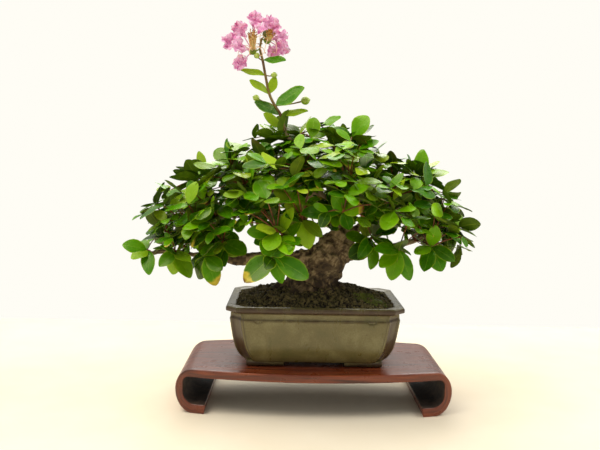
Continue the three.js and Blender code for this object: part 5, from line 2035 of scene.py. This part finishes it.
@dataclass
class FlowerStalk:
    """The tall flowering shoot: its stem, aimed leaves and buds."""

    pedicel: float = 0.42
    ribs: int = 6

    def bud(self, bm: bmesh.types.BMesh, centre: Vector, radius: float, axis: Vector, material: int) -> None:
        """Adds a round bud with six low ribs and a small point.

        Args:
            bm: The mesh that takes it.
            centre: Its middle.
            radius: Its radius.
            axis: The way that its point faces.
            material: Its material slot.
        """
        first = square_to(Vector((0.3, 0.8, 0.5)), axis)
        second = axis.cross(first)

        def place(u: float, v: float) -> Vector:
            angle, tilt = 2 * math.pi * (round(u * 24) % 24) / 24, math.pi * v
            rib = 1 + 0.07 * math.cos(self.ribs * angle) * math.sin(tilt)
            ring = radius * math.sin(tilt) * rib * lerp(0.86, 1.04, v)
            tall = -radius * math.cos(tilt) * 1.06 + radius * 0.22 * max(0.0, (v - 0.82) / 0.18) ** 2
            return centre + axis * tall + (first * math.cos(angle) + second * math.sin(angle)) * ring

        skin(bm, 24, 12, place, material, closed=True)

    def build(self, bench: Bench, pattern: LeafPattern) -> None:
        """Grows the stalk with its leaves and buds."""
        rim = bench.site.rim
        draw = random.Random(5)
        bm = bmesh.new()
        points = [bench.site.over_rim(point) for point in STALK.points]
        for aim in STALK_LEAVES:
            foot, end = points[aim.knot], bench.site.over_rim(aim.end)
            direction = (end - foot).normalized()
            leaf = Leaf(
                foot=foot,
                direction=direction,
                up=square_to(Vector((0, -0.75, 0.65)), direction),
                length=(end - foot).length,
                width=aim.width * 1.12,
                sag=draw.uniform(0.03, 0.12),
                fold=draw.uniform(0.1, 0.35),
                belly=draw.uniform(0.5, 0.62),
                tone=draw.uniform(0.1, 0.5),
                young=0.0 if aim.width > 9 or aim.knot == 5 else 0.75,
            )
            pattern.cut(bm, leaf)
        rod(bm, smooth_line(STALK, rim, 4), 10, Slot.STEM)
        for bud in BUDS:
            start, centre = points[bud.knot], bench.site.over_rim(bud.centre)
            axis = (centre - start).normalized()
            bend = start.lerp(centre, 0.5) + Vector((0, 0, -0.6))
            pedicel = Limb(tuple(map(tuple, (start, bend, centre))), (self.pedicel, self.pedicel, 0.7))
            rod(bm, smooth_line(pedicel, 0, 4), 8, Slot.STEM)
            spent = bud.knot == 7
            self.bud(bm, centre, bud.radius, axis, Slot.OLD_BUD if spent else Slot.BUD)
        finishes = [LEAF_FACE, LEAF_BACK, STEM, BUD, OLD_BUD]
        bench.put(bm, "flowering_stalk", finishes, ["flower_stalk"], crease=70)


class BloomSlot(IntEnum):
    """The material slots of a flower."""

    PETAL = 0
    FILAMENT = 1
    ANTHER = 2
    CALYX = 3
    LONG_FILAMENT = 4


@dataclass
class Bloom:
    """An open flower: six crinkled petals on thin claws, a tuft of stamens and a ribbed cup."""

    flower: Flower
    seed: int
    blade: float = 11.4
    blade_width: float = 10.8
    gathered: float = 0.79  # share of its reach at which each petal stands
    claw: float = 0.36
    cup: float = 2.5
    tuft_radius: float = 3.2
    stamens: int = 44
    long_stamens: int = 6
    tissue: float = 0.26
    steps: int = 22
    ribs: int = 6

    def __post_init__(self) -> None:
        """Starts this flower's own run of random numbers."""
        self.draw = random.Random(self.seed)

    def petal(self, bm: bmesh.types.BMesh, heart: Vector, target: Vector) -> None:
        """Adds one petal: a thin claw and a round blade that is crumpled and fringed."""
        draw = self.draw
        direction = (target - heart).normalized()
        reach = (target - heart).length
        foot = heart + direction * max(2.0, reach - self.blade / 2)
        up = square_to(Vector((0, -1, 0.25)) + tangled(draw, 0.45), direction)
        side = up.cross(direction)
        phase = [draw.uniform(0, 2 * math.pi) for _ in range(5)]
        offset = Vector([draw.uniform(0, 50) for _ in range(3)])
        middle = foot + direction * (self.blade * 0.5)
        fold = number_on(bm, "fold")

        def place(u: float, v: float) -> Vector:
            """A point of the blade: a disc narrowed to its foot, with lobes, ruffles and creases."""
            x, y = 2 * u - 1, 2 * v - 1
            disc = Vector((x * math.sqrt(1 - y * y / 2), y * math.sqrt(1 - x * x / 2)))
            far = min(1.0, disc.length)
            angle = math.atan2(disc.x, disc.y)
            lobes = 0.07 * math.sin(5 * angle + phase[0]) + 0.07 * math.sin(9 * angle + phase[1])
            lobes += 0.045 * math.sin(14 * angle + phase[2])
            reach_out = 1 + lobes * far**2
            narrow = 1 - 0.42 * clamp(-disc.y) ** 1.5
            across = disc.x * reach_out * self.blade_width / 2 * narrow
            along = disc.y * reach_out * self.blade / 2
            ruffle = math.sin(4 * angle + phase[3]) * 1.0 + math.sin(7 * angle + phase[4]) * 0.75
            spot = Vector((across, along, 0)) * 0.34 + offset
            crumple = noise.fractal(spot, 0.8, 2.2, 3) * 2.3
            lift = ruffle * far**1.7 + crumple + 1.3 * far**2
            pull = noise.noise_vector(spot * 1.3) * 1.1 * far
            return middle + side * (across + pull.x) + direction * (along + pull.y) + up * lift

        sheet = skin(bm, self.steps, self.steps, place, BloomSlot.PETAL)
        for vert in sheet:
            # painted light: points of the blade raised along its up side are paler, sunk ones deeper pink
            lift = (vert.co - middle).dot(up)
            vert[fold] = clamp(0.42 + lift * 0.16)
        bmesh.ops.solidify(bm, geom=list(faces_of(sheet)), thickness=self.tissue)
        bow = heart.lerp(foot, 0.55) + up * draw.uniform(-0.8, 0.8)
        inner = foot + direction * (self.blade * 0.14)
        claw = bent((heart, bow, inner), (self.claw, self.claw, self.claw * 1.3), 5)
        for vert in rod(bm, claw, 7, BloomSlot.PETAL):
            vert[fold] = 0.62

    def tuft(self, bm: bmesh.types.BMesh, heart: Vector, tip: Vector) -> None:
        """Adds the stamens: a thick tuft of short ones and a few long ones that curl out of it."""
        draw = self.draw
        axis = (tip - heart).normalized()
        tall = (tip - heart).length
        first = square_to(Vector((1, 0, 0)), axis)
        second = axis.cross(first)
        for i in range(self.stamens):
            angle, far = GOLDEN_TURN * i, math.sqrt((i + 0.5) / self.stamens)
            spread = (first * math.cos(angle) + second * math.sin(angle)) * far
            rise = tall * draw.uniform(0.72, 1.04) * (1 - 0.22 * far**2)
            top = heart + axis * rise + spread * self.tuft_radius + tangled(draw, 0.5)
            waist = heart + axis * (tall * 0.45) + spread * self.tuft_radius * draw.uniform(0.65, 0.95)
            line = bent((heart + spread * 1.3, waist, top), (0.26, 0.22, 0.16), 3)
            rod(bm, line, 5, BloomSlot.FILAMENT)
            ball(bm, top, draw.uniform(0.36, 0.5), spread + axis * 0.3, 1.5, BloomSlot.ANTHER)
        for i in range(self.long_stamens):
            angle = 2 * math.pi * (i + 0.3) / self.long_stamens
            out = first * math.cos(angle) + second * math.sin(angle)
            away = out * draw.uniform(6.5, 9.5)
            fall = Vector((0, 0, -draw.uniform(1.0, 5.0)))
            places = (
                heart + out * 1.5,
                heart + away * 0.5 + axis * draw.uniform(2.5, 4.5),
                heart + away + axis * draw.uniform(1.0, 3.5) + fall * 0.2,
                heart + away * 1.15 + fall,
                heart + away * 0.8 + fall * 1.3,
            )
            rod(bm, bent(places, (0.24, 0.22, 0.2, 0.18, 0.16), 6), 6, BloomSlot.LONG_FILAMENT)
            ball(bm, places[-1], 0.42, out, 1.5, BloomSlot.ANTHER)

    def calyx(self, bm: bmesh.types.BMesh, heart: Vector, axis: Vector) -> None:
        """Adds the cup under the petals, with six ribs that end in pointed lobes."""
        first = square_to(Vector((1, 0, 0)), axis)
        second = axis.cross(first)
        wall = 0.35

        def place(u: float, v: float) -> Vector:
            """A point of the cup: out and up its outside, over the lobes and back down inside."""
            angle = 2 * math.pi * (round(u * 36) % 36) / 36
            lobe = 0.5 + 0.5 * math.cos(self.ribs * angle)
            inside = v > 0.55
            share = clamp(v / 0.55) if not inside else clamp((1 - v) / 0.45)
            tilt = math.pi / 2 * share
            ring = (self.cup - (wall if inside else 0)) * math.sin(tilt) * (1 + 0.05 * lobe * (not inside))
            lift = -self.cup * 0.95 * math.cos(tilt) + share**4 * lobe * 1.5 + (wall if inside else 0)
            ring += share**6 * lobe * 0.5
            return heart + axis * (lift - 0.2) + (first * math.cos(angle) + second * math.sin(angle)) * ring

        skin(bm, 36, 18, place, BloomSlot.CALYX, closed=True)

    def build(self, bench: Bench) -> None:
        """Makes the flower and the stalk that it sits on."""
        bm = bmesh.new()
        heart = bench.site.over_rim(self.flower.centre)
        tip = bench.site.over_rim(self.flower.tuft)
        axis = (tip - heart).normalized()
        for target in self.flower.petals:
            self.petal(bm, heart, heart.lerp(bench.site.over_rim(target), self.gathered))
        self.tuft(bm, heart, tip)
        self.calyx(bm, heart, axis)
        stalk = min((bench.site.over_rim(p) for p in STALK.points), key=lambda p: (p - heart).length)
        sag = stalk.lerp(heart, 0.5) + Vector((0, 0, -0.6))
        rod(bm, bent((stalk, sag, heart), (0.5, 0.5, 0.7), 4), 8, BloomSlot.CALYX)
        finishes = [PETAL, FILAMENT, ANTHER, CALYX, LONG_FILAMENT]
        piece = self.flower.name.replace("flower", "bloom")
        bench.put(bm, piece, finishes, [self.flower.name], crease=85)


# ---- Studio --------------------------------------------------------------------------------------


@dataclass(frozen=True)
class SoftBox:
    """A large soft lamp: where it stands in millimetres, its size, its power in watts and its colour."""

    name: str
    place: Point
    size: tuple[float, float]
    power: float
    colour: str = "#ffffff"


@dataclass
class Studio:
    """A pale table, a bright plain surround, soft lamps and the camera, in millimetres and degrees."""

    camera_at: Point = (-11.0, -510.2, 169.7)
    yaw: float = 0.66
    pitch: float = 5.06
    roll: float = 1.06
    lens: float = 43.2
    sensor: float = 36.0
    aim: Point = (0.0, 0.0, 130.0)
    table_side: float = 6000.0
    table_back: float = 236.0  # from the pot's middle to the edge behind it
    surround: str = "#fffdf5"
    fill: float = 0.46
    sky_power: float = 1.5  # of the broad light from above, in watts for each square metre
    sky_from: Point = (-0.35, 0.3, 0.9)
    sky_spread: float = 60.0
    sky_colour: str = "#fff4e0"
    lamps: tuple[SoftBox, ...] = (
        SoftBox("lamp_above_left", (-420, -260, 780), (480, 480), 3.6, "#fff6e6"),
        SoftBox("lamp_above_right", (520, -120, 640), (380, 380), 2.2, "#fffaf0"),
        SoftBox("lamp_behind", (60, 620, 560), (700, 400), 3.0, "#fffdf8"),
    )

    def table(self, site: Site) -> None:
        """Lays the pale table."""
        bm = bmesh.new()
        number_on(bm, "tone")
        half = self.table_side / 2
        back = Matrix.Translation((0, self.table_back - half, 0))
        bmesh.ops.create_grid(bm, x_segments=8, y_segments=8, size=half, matrix=back)
        bmesh.ops.transform(bm, matrix=site.to_frame(), verts=bm.verts)
        mesh = mesh_from(bm, "table")
        mesh.materials.append(CLOTH.material())
        table = put_in_scene("table", mesh)

    def light(self, site: Site) -> None:
        """Hangs the lamps and sets the surround, which is brighter to the camera than it shines."""
        for lamp in self.lamps:
            data = bpy.data.lights.new(lamp.name, "AREA")
            data.shape = "RECTANGLE"
            data.size, data.size_y = (side * METRES for side in lamp.size)
            data.energy = lamp.power
            data.color = linear(lamp.colour)[:3]
            holder = put_in_scene(lamp.name, data)
            holder.location = site.to_frame() @ Vector(lamp.place)
            away = Vector(lamp.place) - Vector(self.aim)
            holder.rotation_euler = away.to_track_quat("Z", "Y").to_euler()
        sky = bpy.data.lights.new("broad_light_above", "SUN")
        sky.energy = self.sky_power
        sky.angle = math.radians(self.sky_spread)
        sky.color = linear(self.sky_colour)[:3]
        holder = put_in_scene("broad_light_above", sky)
        holder.rotation_euler = Vector(self.sky_from).to_track_quat("Z", "Y").to_euler()
        world = bpy.data.worlds.new("studio")
        world.use_nodes = True
        world.node_tree.nodes.clear()
        seen = add_node(world.node_tree, "LightPath").outputs["Is Camera Ray"]
        power = add_node(world.node_tree, "MapRange", inputs={0: seen, 3: self.fill, 4: 1.0})
        background = add_node(world.node_tree, "Background", inputs={0: linear(self.surround), 1: power})
        add_node(world.node_tree, "OutputWorld", inputs={0: background})
        bpy.context.scene.world = world

    def shoot(self, site: Site) -> None:
        """Sets up the camera."""
        yaw, pitch, roll = (math.radians(angle) for angle in (self.yaw, self.pitch, self.roll))
        right = Vector((math.cos(yaw), -math.sin(yaw), 0))
        ahead = Vector((math.sin(yaw) * math.cos(pitch), math.cos(yaw) * math.cos(pitch), -math.sin(pitch)))
        up = right.cross(ahead)
        turned_right = right * math.cos(roll) + up * math.sin(roll)
        turned_up = up * math.cos(roll) - right * math.sin(roll)
        x, y, z = self.camera_at
        place = Vector((math.cos(yaw) * x + math.sin(yaw) * y, -math.sin(yaw) * x + math.cos(yaw) * y, z))
        data = bpy.data.cameras.new("camera")
        data.lens = self.lens
        data.sensor_width = self.sensor
        data.clip_start, data.clip_end = 0.01, 50
        camera = put_in_scene("camera", data)
        turn = Matrix((turned_right, turned_up, -ahead)).transposed().to_4x4()
        camera.matrix_world = Matrix.Translation(site.to_frame() @ place) @ turn
        bpy.context.scene.camera = camera
        bpy.context.scene.view_settings.view_transform = "Standard"


# ---- Assembly ------------------------------------------------------------------------------------


def main() -> None:
    """Builds every piece in order, then the studio."""
    logging.basicConfig(level=logging.INFO, format="%(name)s: %(message)s", stream=sys.stdout)
    bench = Bench(Site.of_pot())
    pattern = LeafPattern()
    pot = Pot()
    Stand().build(bench)
    pot.build(bench)
    Drainage().dress()
    SoilBed(pot).build(bench)
    Wood().build(bench)
    Crown().build(bench, pattern)
    FlowerStalk().build(bench, pattern)
    for seed, flower in enumerate(FLOWERS, start=21):
        Bloom(flower, seed).build(bench)
    studio = Studio()
    studio.table(bench.site)
    studio.light(bench.site)
    studio.shoot(bench.site)
    bpy.data.meshes.remove(pattern.mesh)
    log.info("%d new pieces", len(bench.pieces))


if __name__ == "__main__":
    main()
